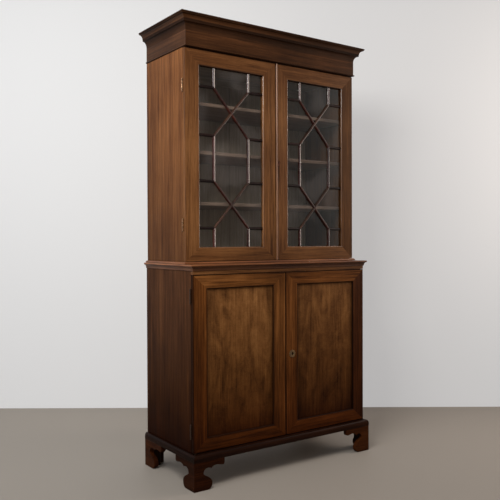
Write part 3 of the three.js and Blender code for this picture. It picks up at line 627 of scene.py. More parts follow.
# each curve: two handles and an end, as along and up
BRACKET_CURVES = [
    (0.535, 0, 0.594, 0.105, 0.588, 0.24),
    (0.576, 0.376, 0.473, 0.436, 0.4, 0.489),
    (0.352, 0.526, 0.303, 0.541, 0.303, 0.601),
    (0.303, 0.707, 0.376, 0.767, 0.448, 0.767),
    (0.509, 0.767, 0.533, 0.737, 0.564, 0.729),
    (0.594, 0.797, 0.679, 0.82, 0.752, 0.812),
    (0.824, 0.805, 0.873, 0.774, 0.933, 0.774),
    (0.976, 0.774, 1, 0.81, 1, 0.865),
]
PLAIN_BRACKET = [(0.58, 0), (0.58, 0.36), (1, 0.9)]


def follow(start, curves, steps=9):
    """Points along a chain of cubic curves."""
    points = [start]
    for ax, az, bx, bz, x, z in curves:
        here = points[-1]
        for t in [i / steps for i in range(1, steps + 1)]:
            weights = ((1 - t) ** 3, 3 * t * (1 - t) ** 2, 3 * t * t * (1 - t), t**3)
            along = sum(w * p for w, p in zip(weights, (here[0], ax, bx, x)))
            up = sum(w * p for w, p in zip(weights, (here[1], az, bz, z)))
            points.append((along, up))
    return points


SHAPED_BRACKET = follow(BRACKET_START, BRACKET_CURVES)


def bracket_outline(shares, length):
    """The sawn line of a bracket as (along, height) points, from the corner of the foot."""
    line = [(along * length, up * FOOT_HEIGHT) for along, up in shares]
    corner = [(length, FOOT_HEIGHT), (0, FOOT_HEIGHT), (0, FOOT_CHAMFER)]
    return [(FOOT_CHAMFER, 0)] + line + corner


print("points in a shaped bracket:", len(bracket_outline(SHAPED_BRACKET, BESIDE_LENGTH)))

# %% [markdown]
# Two brackets meet in a mitre at the corner, with a glue block behind them. The feet on the right
# are mirrored copies.

# %% Bracket feet
THICK, BLOCK_SIZE = 22 * MM, 36 * MM
MITRE_GAP = 0.05 * MM


def make_foot(row, corner, toward):
    """A foot at a left corner; toward is 1 where its side bracket runs back, -1 forward."""
    front_shares = SHAPED_BRACKET if row == "front" else PLAIN_BRACKET
    across = planed(
        f"foot_{row}_across", bracket_outline(front_shares, ACROSS_LENGTH),
        corner, X, Z, toward * THICK * Y,
    )
    side = planed(
        f"foot_{row}_beside", bracket_outline(SHAPED_BRACKET, BESIDE_LENGTH),
        corner, toward * Y, Z, THICK * X,
    )
    mitre = Vector((1, -toward, 0)).normalized()
    for piece, normal in ((across, mitre), (side, -mitre)):
        sawn(piece, corner + MITRE_GAP * normal, normal)
        smooth(eased(piece, 0.7 * MM, 2, 50))
    start = corner + (THICK + GAP) * (X + toward * Y) + 0.5 * MM * Z
    end = start + Vector((BLOCK_SIZE, toward * BLOCK_SIZE, FOOT_HEIGHT - MM))
    corners = Vector(map(min, start, end)), Vector(map(max, start, end))
    glue = eased(block(f"foot_{row}_block", *corners), 3 * MM, 1)
    return [(across, "foot_X", "dark_wood"), (side, "foot_Y", "dark_wood"),
            (glue, "dark_Z", "inner_wood")]


for row, toward in (("front", 1), ("back", -1)):
    low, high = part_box(f"foot_{row}_left")
    corner = Vector((low.x, low.y if row == "front" else high.y, 0))
    for piece, finish, slot in make_foot(row, corner, toward):
        twin = copied(piece, piece.name + "_right", mirror=True)
        piece.name += "_left"
        keep(piece, "case", finish, slot, f"foot_{row}_left")
        keep(twin, "case", finish, slot, f"foot_{row}_right")
print("feet:", sum(name.startswith("foot") for name in made))

# %% [markdown]
# A framed back keeps such a wide case square: upright and level lengths with grooved edges hold
# four thin panels. Inside, the panels lie 3 mm back. The groove is part of the section, so it
# needs no cutting afterwards.

# %% Grooved lengths for the backs
BACK_WIDTH, BACK_PANELS = 62 * MM, 4
BACK_LIP, PANEL_THICKNESS, GROOVE, TONGUE = 3 * MM, 5 * MM, 8 * MM, 7 * MM
PANEL_PLAY = 0.1 * MM


def grooved_section(thickness, both_edges):
    """(across, depth) points of a length of the back frame, with a groove in its far edge."""
    near, far = BACK_LIP, BACK_LIP + PANEL_THICKNESS
    inner = BACK_WIDTH - GROOVE
    groove = [(BACK_WIDTH, near), (inner, near), (inner, far), (BACK_WIDTH, far)]
    points = [(0, 0), (BACK_WIDTH, 0)] + groove + [(BACK_WIDTH, thickness), (0, thickness)]
    if both_edges:
        points += [(BACK_WIDTH - across, depth) for across, depth in reversed(groove)]
    return points


print("points in a grooved section:", len(grooved_section(20 * MM, True)))

# %% [markdown]
# One of each kind of length is modelled, and the others are copies, set out at an even pitch. The
# side that faces the wall is bare wood gone brown with dust, which is noted on its faces.

# %% Framed backs
def framed_back(name):
    """Every piece of one back, with the finish that its grain asks for."""
    low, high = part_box(name)
    inside = low.x + BACK_WIDTH
    foot, head = low.z + BACK_WIDTH, high.z - BACK_WIDTH
    pitch = (high.x - low.x - BACK_WIDTH) / BACK_PANELS
    section = grooved_section(high.y - low.y, False)
    stile = planed(f"{name}_stile_left", section, low, X, Y, (high.z - low.z) * Z)
    length = (high.x - low.x - 2 * BACK_WIDTH) * X
    rails = [
        planed(f"{name}_rail_{end}", section, (inside, low.y, edge), way * Z, Y, length)
        for end, edge, way in (("bottom", low.z, 1), ("top", high.z, -1))
    ]
    both, start = grooved_section(high.y - low.y, True), (low.x + pitch, low.y, foot)
    muntin = planed(f"{name}_muntin_1", both, start, X, Y, (head - foot) * Z)
    front = low.y + BACK_LIP
    panel = block(
        f"{name}_panel_1",
        (inside - TONGUE, front + PANEL_PLAY, foot - TONGUE),
        (low.x + pitch + TONGUE, front + PANEL_THICKNESS - PANEL_PLAY, head + TONGUE),
    )
    for piece in (stile, *rails, muntin, panel):
        eased(piece, 1.1 * MM, 1)
    upright = [stile, copied(stile, f"{name}_stile_right", mirror=True), muntin, panel]
    for i in range(1, BACK_PANELS):
        move = (i * pitch, 0, 0)
        upright.append(copied(panel, f"{name}_panel_{i + 1}", move))
        if i < BACK_PANELS - 1:
            upright.append(copied(muntin, f"{name}_muntin_{i + 1}", move))
    return [(piece, "inner_Z") for piece in upright] + [(rail, "inner_X") for rail in rails]


def dusty(flat):
    """Dust on the side that faces the wall, and most of all on its corners, where it stays."""
    return lambda face: flat if face.normal.y > 0.9 else 1.0 if face.normal.y > 0.3 else 0.0


for node in ("lower_back", "upper_back"):
    for piece, finish in framed_back(node):
        note(piece, "old_polish", dusty(0.5 if "panel" in piece.name else 0.4))
        keep(piece, "case", finish, "inner_wood", node)
print("back pieces:", sum("_back_" in name for name in made))

# %% [markdown]
# Each door frame is four lengths of one section with a quarter-round worked on its inner edge, and
# a groove for the panel or the glass. Shade is painted dark on the edges where the doors meet each
# other and the case, and on the downward face of the moulded edge at the top of the glass. Old
# polish gathers in the moulded edge round a panel. The moulded edge round the glass, and the corner
# of a glazed door at its hinges, are rubbed bright instead.

# %% Section of the door frames
# in millimetres; the round is the wear of the outer edge
DOORS = {
    "lower": {"stile": 77, "top": 66, "bottom": 66, "lip": 8, "filling": 7, "round": 3},
    "upper": {"stile": 79, "top": 75, "bottom": 68, "lip": 12, "filling": 3, "round": 1.2},
}
STICKING = (5 * MM, 6 * MM)
GROOVE_DEPTH, BACK_CHAMFER = 8 * MM, 1.6 * MM
GROOVE_PLAY = 0.6 * MM


def member_section(row, width, depth):
    """(inward, depth) points of a stile or rail, from its outer edge to the opening."""
    lip, worn = DOORS[row]["lip"] * MM, DOORS[row]["round"] * MM
    groove = lip + DOORS[row]["filling"] * MM + GROOVE_PLAY
    floor = width - GROOVE_DEPTH
    return (
        [(0, worn), (0.3 * worn, 0.3 * worn), (worn, 0)]
        + arc((width - STICKING[0], STICKING[1]), STICKING, -1, 0, 9)
        + [(width, lip), (floor, lip), (floor, groove), (width, groove)]
        + [(width, depth), (BACK_CHAMFER, depth), (0, depth - BACK_CHAMFER)]
    )


def note_edges(member, row):
    """Notes which faces of a stile or rail are dark, from painted shade on some and old polish on
    others, and which are rubbed.
    """
    low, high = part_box(f"{row}_left_door_frame")
    reach, lip_back = DOORS[row]["round"] * MM, low.y + DOORS[row]["lip"] * MM
    glazed = row == "upper"

    # outer faces: the edges in the gaps between the doors and the case, painted dark as shade
    def outer(face):
        x, _, z = face.center
        at_hinges = x - low.x < reach and not glazed
        return at_hinges or min(high.x - x, z - low.z, high.z - z) < reach

    def moulded(face):
        return not outer(face) and face.center.y < lip_back and abs(face.normal.y) < 0.999

    def dark(face):
        # painted shade on the outer faces and under a glazed top rail; old polish in the moulding
        # round a panel
        return outer(face) or (moulded(face) and (not glazed or face.normal.z < -0.3))

    def bright(face):
        return moulded(face) and glazed and face.normal.y < -0.2 and face.normal.z >= -0.3

    note(member, "old_polish", lambda face: float(dark(face)))
    note(member, "rubbed", lambda face: float(bright(face)))


print("points in a frame section:", len(member_section("lower", 77 * MM, 20 * MM)))

# %% [markdown]
# The four lengths are mitred at the corners. A mitre runs from the outer corner of the frame to
# the corner of the opening, so it isn't quite 45 degrees where a rail is narrower than a stile.
# Each length is planed too long for its opening, and bisect saws both ends.

# %% Mitred frames
FRAME_GAP = 0.06 * MM
MEMBERS = {
    "hinge_stile": "left", "meeting_stile": "right", "top_rail": "top", "bottom_rail": "bottom"
}


def door_members(row):
    """The four mitred lengths of a left door frame, by name."""
    stile, top, bottom = (DOORS[row][size] * MM for size in ("stile", "top", "bottom"))
    low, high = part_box(f"{row}_left_door_frame")
    outer = {"left": low.x, "right": high.x, "bottom": low.z, "top": high.z}
    opening = {
        "left": low.x + stile, "right": high.x - stile,
        "bottom": low.z + bottom, "top": high.z - top,
    }
    members = {}
    for name, side in MEMBERS.items():
        edge, width = outer[side], abs(opening[side] - outer[side])
        way = 1 if opening[side] > edge else -1
        if side in ("left", "right"):
            start, inward, along = (edge, low.y, low.z), way * X, (high.z - low.z) * Z
            ends = ((side, "bottom"), (side, "top"))
        else:
            start, inward, along = (low.x, low.y, edge), way * Z, (high.x - low.x) * X
            ends = (("left", side), ("right", side))
        section = member_section(row, width, high.y - low.y)
        member = planed(f"{row}_{name}", section, start, inward, Y, along)
        corners = [Vector((outer[x], 0, outer[z])) for x, z in ends]
        middle = (corners[0] + corners[1]) / 2
        for corner, (x, z) in zip(corners, ends):
            line = (Vector((opening[x], 0, opening[z])) - corner).normalized()
            normal = Vector((line.z, 0, -line.x))
            if normal.dot(middle - corner) < 0:
                normal = -normal
            sawn(member, corner + FRAME_GAP * normal, normal)
        note_edges(member, row)
        members[name] = member
    return members


# %% [markdown]
# A keyhole has a round top and a slot below it. The same outline cuts the door, the lock and the
# brass round it, a little larger where brass is let in.

# %% Keyholes
KEYHOLE_RADIUS, KEYHOLE_SLOT, KEYHOLE_DROP = 3.6 * MM, 1.8 * MM, 12 * MM


def keyhole_centre(row):
    """The middle of a keyhole on the right door, as (x, z)."""
    if row == "upper":
        low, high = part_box("upper_right_door_keyhole_lining")
        return (low.x + high.x) / 2, high.z - (high.x - low.x) / 2
    low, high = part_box("lower_right_door_escutcheon")
    return (low.x + high.x) / 2, (low.z + high.z) / 2 + 4 * MM


def keyhole_shape(name, row, y, length, grow=0.0):
    """A solid keyhole of some length from y, to be used as a cutter or as the lining."""
    x, z = keyhole_centre(row)
    radius, slot = KEYHOLE_RADIUS + grow, KEYHOLE_SLOT + grow
    turn = asin(slot / radius) / (pi / 2)
    foot = z - KEYHOLE_DROP - grow
    outline = arc((x, z), (radius, radius), turn - 1, 3 - turn, 20)
    outline += [(x - slot, foot), (x + slot, foot)]
    return planed(name, outline, (0, y, 0), X, Z, length * Y)


print("keyholes at", [keyhole_centre(row) for row in ("lower", "upper")])

# %% [markdown]
# The hinge beds, the keyhole, the pocket of the lock and the mortise for its bolt are chopped out
# last, as a joiner does. Each cutter is a block or a keyhole, and its size comes from the solid
# that has to fit in it.

# %% Beds, pockets and mortises
BOLT_PLAY = 0.6 * MM
LINING_SEAT = 2.3 * MM


def chop_hinge_beds(row, stile):
    door_low, door_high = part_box(f"{row}_left_door_frame")
    for level in ("bottom", "top"):
        low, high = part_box(f"{row}_left_door_{level}_hinge_leaf")
        bed = block(
            "bed",
            (door_low.x - 5 * MM, door_high.y - 2.5 * MM, low.z - GAP),
            (high.x + GAP, door_high.y + 5 * MM, high.z + GAP),
        )
        chopped(stile, bed)


def chop_for_lock(row, left_stile, right_stile):
    low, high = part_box(f"{row}_right_door_lock_bolt")
    mortise = block(
        "mortise",
        (-10 * MM, low.y - BOLT_PLAY, low.z - BOLT_PLAY),
        (5 * MM, high.y + BOLT_PLAY, high.z + BOLT_PLAY),
    )
    chopped(left_stile, mortise)
    low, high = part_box(f"{row}_right_door_lock")
    pocket = block(
        "pocket",
        (-5 * MM, low.y - GAP, low.z - GAP),
        (high.x + GAP, high.y + 5 * MM, high.z + GAP),
    )
    chopped(right_stile, pocket)
    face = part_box(f"{row}_right_door_frame")[0].y
    grow = LINING_SEAT if row == "upper" else 0.0
    chopped(right_stile, keyhole_shape("seat", row, face - 5 * MM, 9 * MM, grow))
    chopped(right_stile, keyhole_shape("keyhole", row, face, 18 * MM))


print("room for a lock bolt:", round(BOLT_PLAY / MM, 1), "mm all round")

# %% [markdown]
# The left door's lengths are made first, and the right door gets mirrored copies. No two boards of
# old mahogany have the same colour, so some stiles and rails get a wood of their own; the lower
# left door's meeting stile and rails and the upper left meeting stile are also painted lighter, and
# both right-hand hinge stiles darker, as painted light and shade.

# %% Door frames
# painted light on the lighter boards near the middle, painted shade on the darker right-hand hinge
# stiles
ODD_AND_SHADED_BOARDS = {
    "lower_left_hinge_stile": "red_door",
    "lower_left_meeting_stile": "bright_door",
    "lower_left_top_rail": "bright_door",
    "lower_left_bottom_rail": "bright_door",
    "lower_right_hinge_stile": "dark_door",
    "upper_right_hinge_stile": "brown_door",
    "upper_left_meeting_stile": "pale_door",
    "upper_right_meeting_stile": "key_door",
}

for row, usual_wood in (("lower", "low_door"), ("upper", "door")):
    members = door_members(row)
    chop_hinge_beds(row, members["hinge_stile"])
    for name, member in members.items():
        twin = copied(member, f"{row}_right_{name}", mirror=True)
        member.name = f"{row}_left_{name}"
        if name == "meeting_stile":
            chop_for_lock(row, member, twin)
        grain = "Z" if "stile" in name else "X"
        for piece, hand in ((member, "left"), (twin, "right")):
            wood = ODD_AND_SHADED_BOARDS.get(piece.name, usual_wood)
            door = f"{row}_{hand}_door"
            keep(smooth(piece), door, f"{wood}_{grain}", "door_wood", f"{door}_frame")
print("door members:", sum("stile" in name or "rail" in name for name in made))

# %% [markdown]
# The bead that covers the meeting of the glazed doors is a half-round strip on the right door.
# It is planed like a moulding. Its right-hand side, in the corner with the door, is painted dark as
# shade.

# %% Meeting bead
low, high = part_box("upper_right_door_astragal")
half_round = arc(((low.x + high.x) / 2, 0), ((high.x - low.x) / 2, high.y - low.y), 0, 2, 16)
start, length = (0, high.y, low.z), (high.z - low.z) * Z
meeting_bead = planed("meeting_bead", half_round, start, X, -Y, length)
# painted shade on the right-hand side of the bead, away from the lamps
note(meeting_bead, "old_polish", lambda face: 0.7 if face.normal.x > 0.5 else 0.0)
keep(
    smooth(meeting_bead), "upper_right_door", "bead_Z", "dark_wood", "upper_right_door_astragal"
)
print("meeting bead:", round((high.x - low.x) / MM), "mm wide")

# %% [markdown]
# The glazing bars follow one drawing in both doors: two upright columns and four levels, with
# crossing bars between them. The lines are worked out from the opening, in shares of its size.

# %% Drawing of the glazing bars
COLUMN_SHARES = (0.23, 0.77)
ROW_SHARES = (0.106, 0.368, 0.623, 0.891)
sizes = {key: size * MM for key, size in DOORS["upper"].items()}
door_low, door_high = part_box("upper_left_door_frame")
opening_low = (door_low.x + sizes["stile"], door_low.z + sizes["bottom"])
opening_high = (door_high.x - sizes["stile"], door_high.z - sizes["top"])
glass_front = door_low.y + sizes["lip"]


def spaced(shares, axis):
    size = opening_high[axis] - opening_low[axis]
    return [opening_low[axis] + share * size for share in shares]


c1, c2 = spaced(COLUMN_SHARES, 0)
r1, r2, r3, r4 = spaced(ROW_SHARES, 1)
x0, x1 = opening_low[0] + GAP, opening_high[0] - GAP
z0, z1 = opening_low[1] + GAP, opening_high[1] - GAP
bar_lines = [
    ((c1, r1), (c2, r2)), ((c2, r1), (c1, r2)), ((c1, r3), (c2, r4)), ((c2, r3), (c1, r4)),
]
for column in (c1, c2):
    bar_lines += [((column, z0), (column, r1)), ((column, r2), (column, r3))]
    bar_lines += [((column, r4), (column, z1))]
for level in (r1, r2, r3, r4):
    bar_lines += [((x0, level), (c1, level)), ((c2, level), (x1, level))]
print("glazing bars in a door:", len(bar_lines))

# %% [markdown]
# Glazing bars are planed to a low ridge with rounded edges between two small shoulders, and cut to
# the lines of the pattern. The slopes of the ridge are what catches the light in one long line.
# Level and slanting bars have lost some of their polish, and get duller woods. The level bars are
# also painted near black as shade, and the slanting bars that lean down to the right are painted
# darker and redder than the others, as shade.

# %% Glazing bars
BAR_HALF, BAR_BASE = 7.2 * MM, 2 * MM
BAR_SHOULDER = BAR_HALF - 1.5 * MM
# (out, rise) in millimetres, from the shoulder to the crest
SLOPE = [(5.5, 3.2), (5.3, 4.1), (4.9, 4.8), (4.3, 5.3), (3.4, 5.7), (0.9, 6.5), (0.3, 6.62)]
half_section = [(BAR_HALF, 0), (BAR_HALF, BAR_BASE), (BAR_SHOULDER, BAR_BASE)]
half_section += [(out * MM, rise * MM) for out, rise in SLOPE]
bar_section = half_section + [(-out, rise) for out, rise in reversed(half_section)]


def bar_finishes(line):
    """The finish of a bar in the left door and of its mirrored copy in the right door."""
    # level bars get painted shade; bars leaning down to the right, in either door, get the darker
    # wood as painted shade
    if abs(line.x) < 0.3 * abs(line.z):
        return "bar_Z", "bar_Z"
    if abs(line.z) < 0.3 * abs(line.x):
        return "level_bar_X", "level_bar_X"
    if line.x * line.z < 0:
        return "dull_bar_slant", "slant_bar_slant"
    return "slant_bar_slant", "dull_bar_slant"


for number, (start, end) in enumerate(bar_lines, 1):
    line = (end[0] - start[0]) * X + (end[1] - start[1]) * Z
    side = Vector((-line.z, 0, line.x)).normalized()
    origin = (start[0], glass_front, start[1])
    name = f"upper_left_glazing_bar_{number:02d}"
    bar = smooth(planed(name, bar_section, origin, side, -Y, line))
    twin = copied(bar, f"upper_right_glazing_bar_{number:02d}", mirror=True)
    for piece, hand, finish in zip((bar, twin), ("left", "right"), bar_finishes(line)):
        door = f"upper_{hand}_door"
        keep(piece, door, finish, "bar_wood", f"{door}_glazing_bars")
print("points in a bar's section:", len(bar_section))

# %% [markdown]
# The glass is thirteen panes to a door, each cut to its own shape and bedded behind the bars. Old
# glass lies a little out of true, so every pane is tipped by a fraction of a degree.

# %% Panes
PANE, PANE_GAP = 2 * MM, 0.8 * MM
LEAN = 0.0022
low_cross = ((c1 + c2) / 2, (r1 + r2) / 2)
high_cross = ((c1 + c2) / 2, (r3 + r4) / 2)
xa, xb = x0 - 4 * MM, x1 + 4 * MM
za, zb = z0 - 4 * MM, z1 + 4 * MM
pane_outlines = [
    [(xa, za), (c1, za), (c1, r1), (xa, r1)],
    [(c1, za), (c2, za), (c2, r1), low_cross, (c1, r1)],
    [(c2, za), (xb, za), (xb, r1), (c2, r1)],
    [(xa, r1), (c1, r1), low_cross, (c1, r2), (xa, r2)],
    [(c2, r1), (xb, r1), (xb, r2), (c2, r2), low_cross],
    [low_cross, (c2, r2), (c2, r3), high_cross, (c1, r3), (c1, r2)],
    [(xa, r2), (c1, r2), (c1, r3), (xa, r3)],
    [(c2, r2), (xb, r2), (xb, r3), (c2, r3)],
    [(xa, r3), (c1, r3), high_cross, (c1, r4), (xa, r4)],
    [(c2, r3), (xb, r3), (xb, r4), (c2, r4), high_cross],
    [(xa, r4), (c1, r4), (c1, zb), (xa, zb)],
    [(c1, r4), high_cross, (c2, r4), (c2, zb), (c1, zb)],
    [(c2, r4), (xb, r4), (xb, zb), (c2, zb)],
]
for number, corners in enumerate(pane_outlines, 1):
    cx = sum(x for x, _ in corners) / len(corners)
    cz = sum(z for _, z in corners) / len(corners)
    for hand, sign in (("left", 1), ("right", -1)):
        lean = LEAN * sin(7.3 * number + 2.1 * sign)
        swing = LEAN * cos(5.1 * number - 1.7 * sign)
        origin = (0, glass_front + PANE_GAP - lean * cz - swing * cx, 0)
        across, up = Vector((sign, swing, 0)), Vector((0, lean, 1))
        name = f"upper_{hand}_pane_{number:02d}"
        pane = planed(name, corners, origin, across, up, PANE * Y)
        keep(pane, f"upper_{hand}_door", "glass", "glass", f"upper_{hand}_door_glass")
print("panes in a door:", len(pane_outlines))

# %% [markdown]
# Screws are countersunk, and their slots stop at odd angles. The head is a short round bar,
# narrowed at its back by scaling only those vertices. A cone would do as well, but then its rim
# would have no thickness.

# %% Screws
def edit_only(piece, kind, wanted):
    """Starts editing with only the wanted vertices or polygons selected."""
    start_edit(piece)
    bpy.ops.mesh.select_all(action="DESELECT")
    end_edit()
    for element in getattr(piece.data, kind):
        element.select = wanted(element)
    bpy.ops.object.mode_set(mode="EDIT")


def screw(name, centre, axis, radius):
    """A countersunk screw head with a slot, its face at centre, looking along axis."""
    back = -0.3 * radius
    head = turned(name, (0, 0, back), "Z", radius, 0.6 * radius, 24)
    edit_only(head, "vertices", lambda vertex: vertex.co.z < back)
    bpy.ops.transform.resize(value=(0.55, 0.55, 1), center_override=(0, 0, back))
    end_edit()
    reach, half_slot = 1.2 * radius, 0.13 * radius
    slot = block("slot", (-reach, -half_slot, -0.22 * radius), (reach, half_slot, radius))
    chopped(head, slot)
    spin = Matrix.Rotation(0.7 + 11 * (centre[0] + centre[2]), 4, "Z").to_quaternion()
    head.rotation_mode = "QUATERNION"
    head.rotation_quaternion = Vector((0, 0, 1)).rotation_difference(Vector(axis)) @ spin
    head.location = centre
    pick(head)
    return smooth(settled(name))


# %% [markdown]
# A butt hinge is two brass leaves with interlocking knuckles on one pin. One leaf of each kind is
# modelled for the lower left hinge, and copies go to the other doors and levels.

# %% Hinge leaf
KNUCKLES = 5
PIN_RADIUS, KNUCKLE_RADIUS = 1.7 * MM, 3.5 * MM
LEAF, LEAF_GAP, KNUCKLE_GAP = 2.2 * MM, 0.25 * MM, 0.15 * MM
SCREW_RADIUS, SINK_RADIUS = 2.6 * MM, 2.75 * MM
PIN_TO_WOOD = 3.8 * MM
# each screw: how far out from the edge of the wood, and its share of the leaf's height
LEAF_SCREWS = ((9.8 * MM, 0.18), (5.2 * MM, 0.5), (9.8 * MM, 0.82))


def leaf_node(row, hand, level, fixed):
    return f"{row}_{hand}_{level}_case_leaf" if fixed else f"{row}_{hand}_door_{level}_hinge_leaf"


def hinge_leaf(row, fixed):
    """The lower left leaf with its knuckles, and its screws as separate pieces."""
    node = leaf_node(row, "left", "bottom", fixed)
    low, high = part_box(node)
    joint = next(j for j in frame["joints"] if j["name"] == f"{row}_left_door_hinge")
    axis_x, axis_y = joint["pos_m"][:2]
    edge = axis_x + PIN_TO_WOOD
    near = axis_y + LEAF_GAP if fixed else axis_y - LEAF_GAP - LEAF
    leaf = block(f"{node}_brass", (edge - GAP, near, low.z), (high.x, near + LEAF, high.z))
    eased(leaf, 0.25 * MM)
    knuckle = (high.z - low.z) / KNUCKLES
    parts = []
    for i in range(0 if fixed else 1, KNUCKLES, 2):
        bottom = low.z + i * knuckle + (KNUCKLE_GAP if i else 0)
        top = low.z + (i + 1) * knuckle - (KNUCKLE_GAP if i < KNUCKLES - 1 else 0)
        middle = (axis_x, axis_y, (bottom + top) / 2)
        barrel = eased(turned("barrel", middle, "Z", KNUCKLE_RADIUS, top - bottom), 0.35 * MM)
        arm = block("arm", (axis_x, near, bottom), (edge + 2 * MM, near + LEAF, top))
        chopped(barrel, arm, "UNION")
        if not fixed:
            chopped(barrel, turned("bore", middle, "Z", PIN_RADIUS + 0.1 * MM, 0.1))
        parts.append(barrel)
    if fixed:
        middle = (axis_x, axis_y, (low.z + high.z) / 2)
        parts.append(turned("pin", middle, "Z", PIN_RADIUS, high.z - low.z))
    for part in parts:
        chopped(leaf, part, "UNION")
    facing = -1 if fixed else 1
    screws = []
    for i, (out, share) in enumerate(LEAF_SCREWS, 1):
        centre = (edge + out, axis_y - facing * LEAF_GAP, low.z + share * (high.z - low.z))
        screws.append(screw(f"{node}_screw_{i}", centre, (0, facing, 0), SCREW_RADIUS))
        chopped(leaf, turned("sink", centre, "Y", SINK_RADIUS, 2.4 * MM, 24))
    return smooth(leaf), screws


# %% [markdown]
# The first leaf and its screws are kept as they are. Copies are moved up to the next hinge, and
# mirrored to the right-hand doors. The upper hinges have kept some of their shine, and the lower
# ones have gone dull.

# %% Hinges
for (row, tone), fixed in product((("lower", "dull_brass"), ("upper", "brass")), (True, False)):
    first, first_screws = hinge_leaf(row, fixed)
    home = leaf_node(row, "left", "bottom", fixed)
    for hand, level in product(("left", "right"), ("bottom", "top")):
        node = leaf_node(row, hand, level, fixed)
        body = "case" if fixed else f"{row}_{hand}_door"
        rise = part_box(node)[0].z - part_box(leaf_node(row, hand, "bottom", fixed))[0].z
        pieces = [first, *first_screws]
        if node != home:
            pieces = [
                copied(piece, piece.name.replace(home, node), (0, 0, rise), hand == "right")
                for piece in pieces
            ]
        keep(pieces[0], body, tone, "brass", node)
        for head in pieces[1:]:
            keep(head, body, "steel", "steel")
print("hinge pieces:", sum("leaf" in name for name in made))

# %% [markdown]
# The locks are steel cases let into the backs of the right-hand doors, with a keyhole, a pin for
# the key and a channel for the brass bolt.

# %% Locks
LOCK_SCREWS = [(x, z) for z in (0.1, 0.9) for x in (0.12, 0.88)]
BOLT_CLEARANCE = 0.1 * MM

for row in ("lower", "upper"):
    door = f"{row}_right_door"
    low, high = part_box(f"{door}_lock")
    bolt_low, bolt_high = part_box(f"{door}_lock_bolt")
    lock = eased(block(f"{row}_lock_case", low, high), 0.4 * MM)
    channel = block(
        "channel",
        (low.x - 5 * MM, bolt_low.y - BOLT_CLEARANCE, bolt_low.z - BOLT_CLEARANCE),
        (bolt_high.x + BOLT_PLAY, bolt_high.y + BOLT_CLEARANCE, bolt_high.z + BOLT_CLEARANCE),
    )
    chopped(lock, channel)
    chopped(lock, keyhole_shape("keyhole", row, low.y - MM, 9 * MM))
    x, z = keyhole_centre(row)
    chopped(lock, turned("drill_pin", (x, low.y + 5 * MM, z), "Y", MM, 8 * MM, 16), "UNION")
    keep(lock, door, "steel", "steel", f"{door}_lock")
    for i, (share_x, share_z) in enumerate(LOCK_SCREWS, 1):
        spot = (
            low.x + share_x * (high.x - low.x),
            high.y + 0.05 * MM,
            low.z + share_z * (high.z - low.z),
        )
        head = screw(f"{row}_lock_screw_{i}", spot, (0, 1, 0), 2.4 * MM)
        keep(head, door, "steel", "steel")
    bolt = eased(block(f"{row}_lock_bolt_brass", bolt_low, bolt_high), 0.7 * MM)
    keep(bolt, f"{row}_right_lock_bolt", "brass", "brass", f"{door}_lock_bolt")
print("lock pieces:", sum("_lock_" in name for name in made))

# %% [markdown]
# A slide bolt holds each left-hand door: a rod with a knob, in two loops on a brass plate. The
# loops are bored after they are joined to the plate, so one straight hole runs through both.

# %% Slide bolts
ROD, LOOP, LOOP_HEIGHT, KNOB = 3 * MM, 5.2 * MM, 7 * MM, 2.7 * MM
PLATE, ROD_CLEARANCE = 1.9 * MM, 0.1 * MM
KNOB_RISE, SCREW_RISE, SCREW_ASIDE = 12 * MM, 14 * MM, 6 * MM


def bolt_plate(row, low, high, axis_x, axis_y):
    """The plate of a slide bolt with its two loops, bored for the rod."""
    plate = eased(block(f"{row}_bolt_plate", low, (high.x, low.y + PLATE, high.z)), 0.4 * MM)
    for z in (low.z, high.z - LOOP_HEIGHT):
        loop = turned("loop", (axis_x, axis_y, z + LOOP_HEIGHT / 2), "Z", LOOP, LOOP_HEIGHT)
        skirt = block(
            "skirt", (axis_x - LOOP, low.y + 0.5 * MM, z), (axis_x + LOOP, axis_y, z + LOOP_HEIGHT)
        )
        chopped(plate, eased(chopped(loop, skirt, "UNION"), 0.3 * MM), "UNION")
    middle = (axis_x, axis_y, (low.z + high.z) / 2)
    return smooth(chopped(plate, turned("bore", middle, "Z", ROD + ROD_CLEARANCE, 0.1)))


for row in ("lower", "upper"):
    door = f"{row}_left_door"
    low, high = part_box(f"{door}_bolt_plate")
    rod_low, rod_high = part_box(f"{door}_bolt")
    axis_x, axis_y = (rod_low.x + rod_high.x) / 2, rod_low.y + ROD
    keep(bolt_plate(row, low, high, axis_x, axis_y), door, "brass", "brass", f"{door}_bolt_plate")
    levels = enumerate((low.z + SCREW_RISE, high.z - SCREW_RISE), 1)
    for (i, z), (side, way) in product(levels, (("a", -1), ("b", 1))):
        spot = (axis_x + way * SCREW_ASIDE, low.y + PLATE + 0.05 * MM, z)
        head = screw(f"{row}_bolt_screw_{i}_{side}", spot, (0, 1, 0), 1.8 * MM)
        keep(head, door, "steel", "steel")
    rod_middle = (axis_x, axis_y, (rod_low.z + rod_high.z) / 2)
    rod = turned(f"{row}_slide_bolt", rod_middle, "Z", ROD, rod_high.z - rod_low.z)
    eased(rod, 0.6 * MM)
    knob_z = low.z + LOOP_HEIGHT + KNOB_RISE
    stem = turned("stem", (axis_x, axis_y + 4 * MM, knob_z), "Y", 1.5 * MM, 8 * MM, 20)
    chopped(rod, stem, "UNION")
    bpy.ops.object.select_all(action="DESELECT")
    bpy.ops.mesh.primitive_uv_sphere_add(
        segments=24, ring_count=14, radius=KNOB, location=(axis_x, rod_high.y - KNOB, knob_z)
    )
    chopped(rod, settled("knob"), "UNION")
    keep(smooth(rod), f"{row}_left_bolt", "brass", "brass", f"{door}_bolt")
print("slide bolts:", sum("slide_bolt" in name for name in made))

# %% [markdown]
# The cupboard's keyhole has a turned brass plate. Its rings are made like a turner's cuts: the
# front face is inset again and again, and pushed in or out a little each time. The upper keyhole
# has a thin brass lining.

# %% Escutcheon and keyhole lining
ESCUTCHEON, ESCUTCHEON_MARGIN = 1.6 * MM, 2 * MM
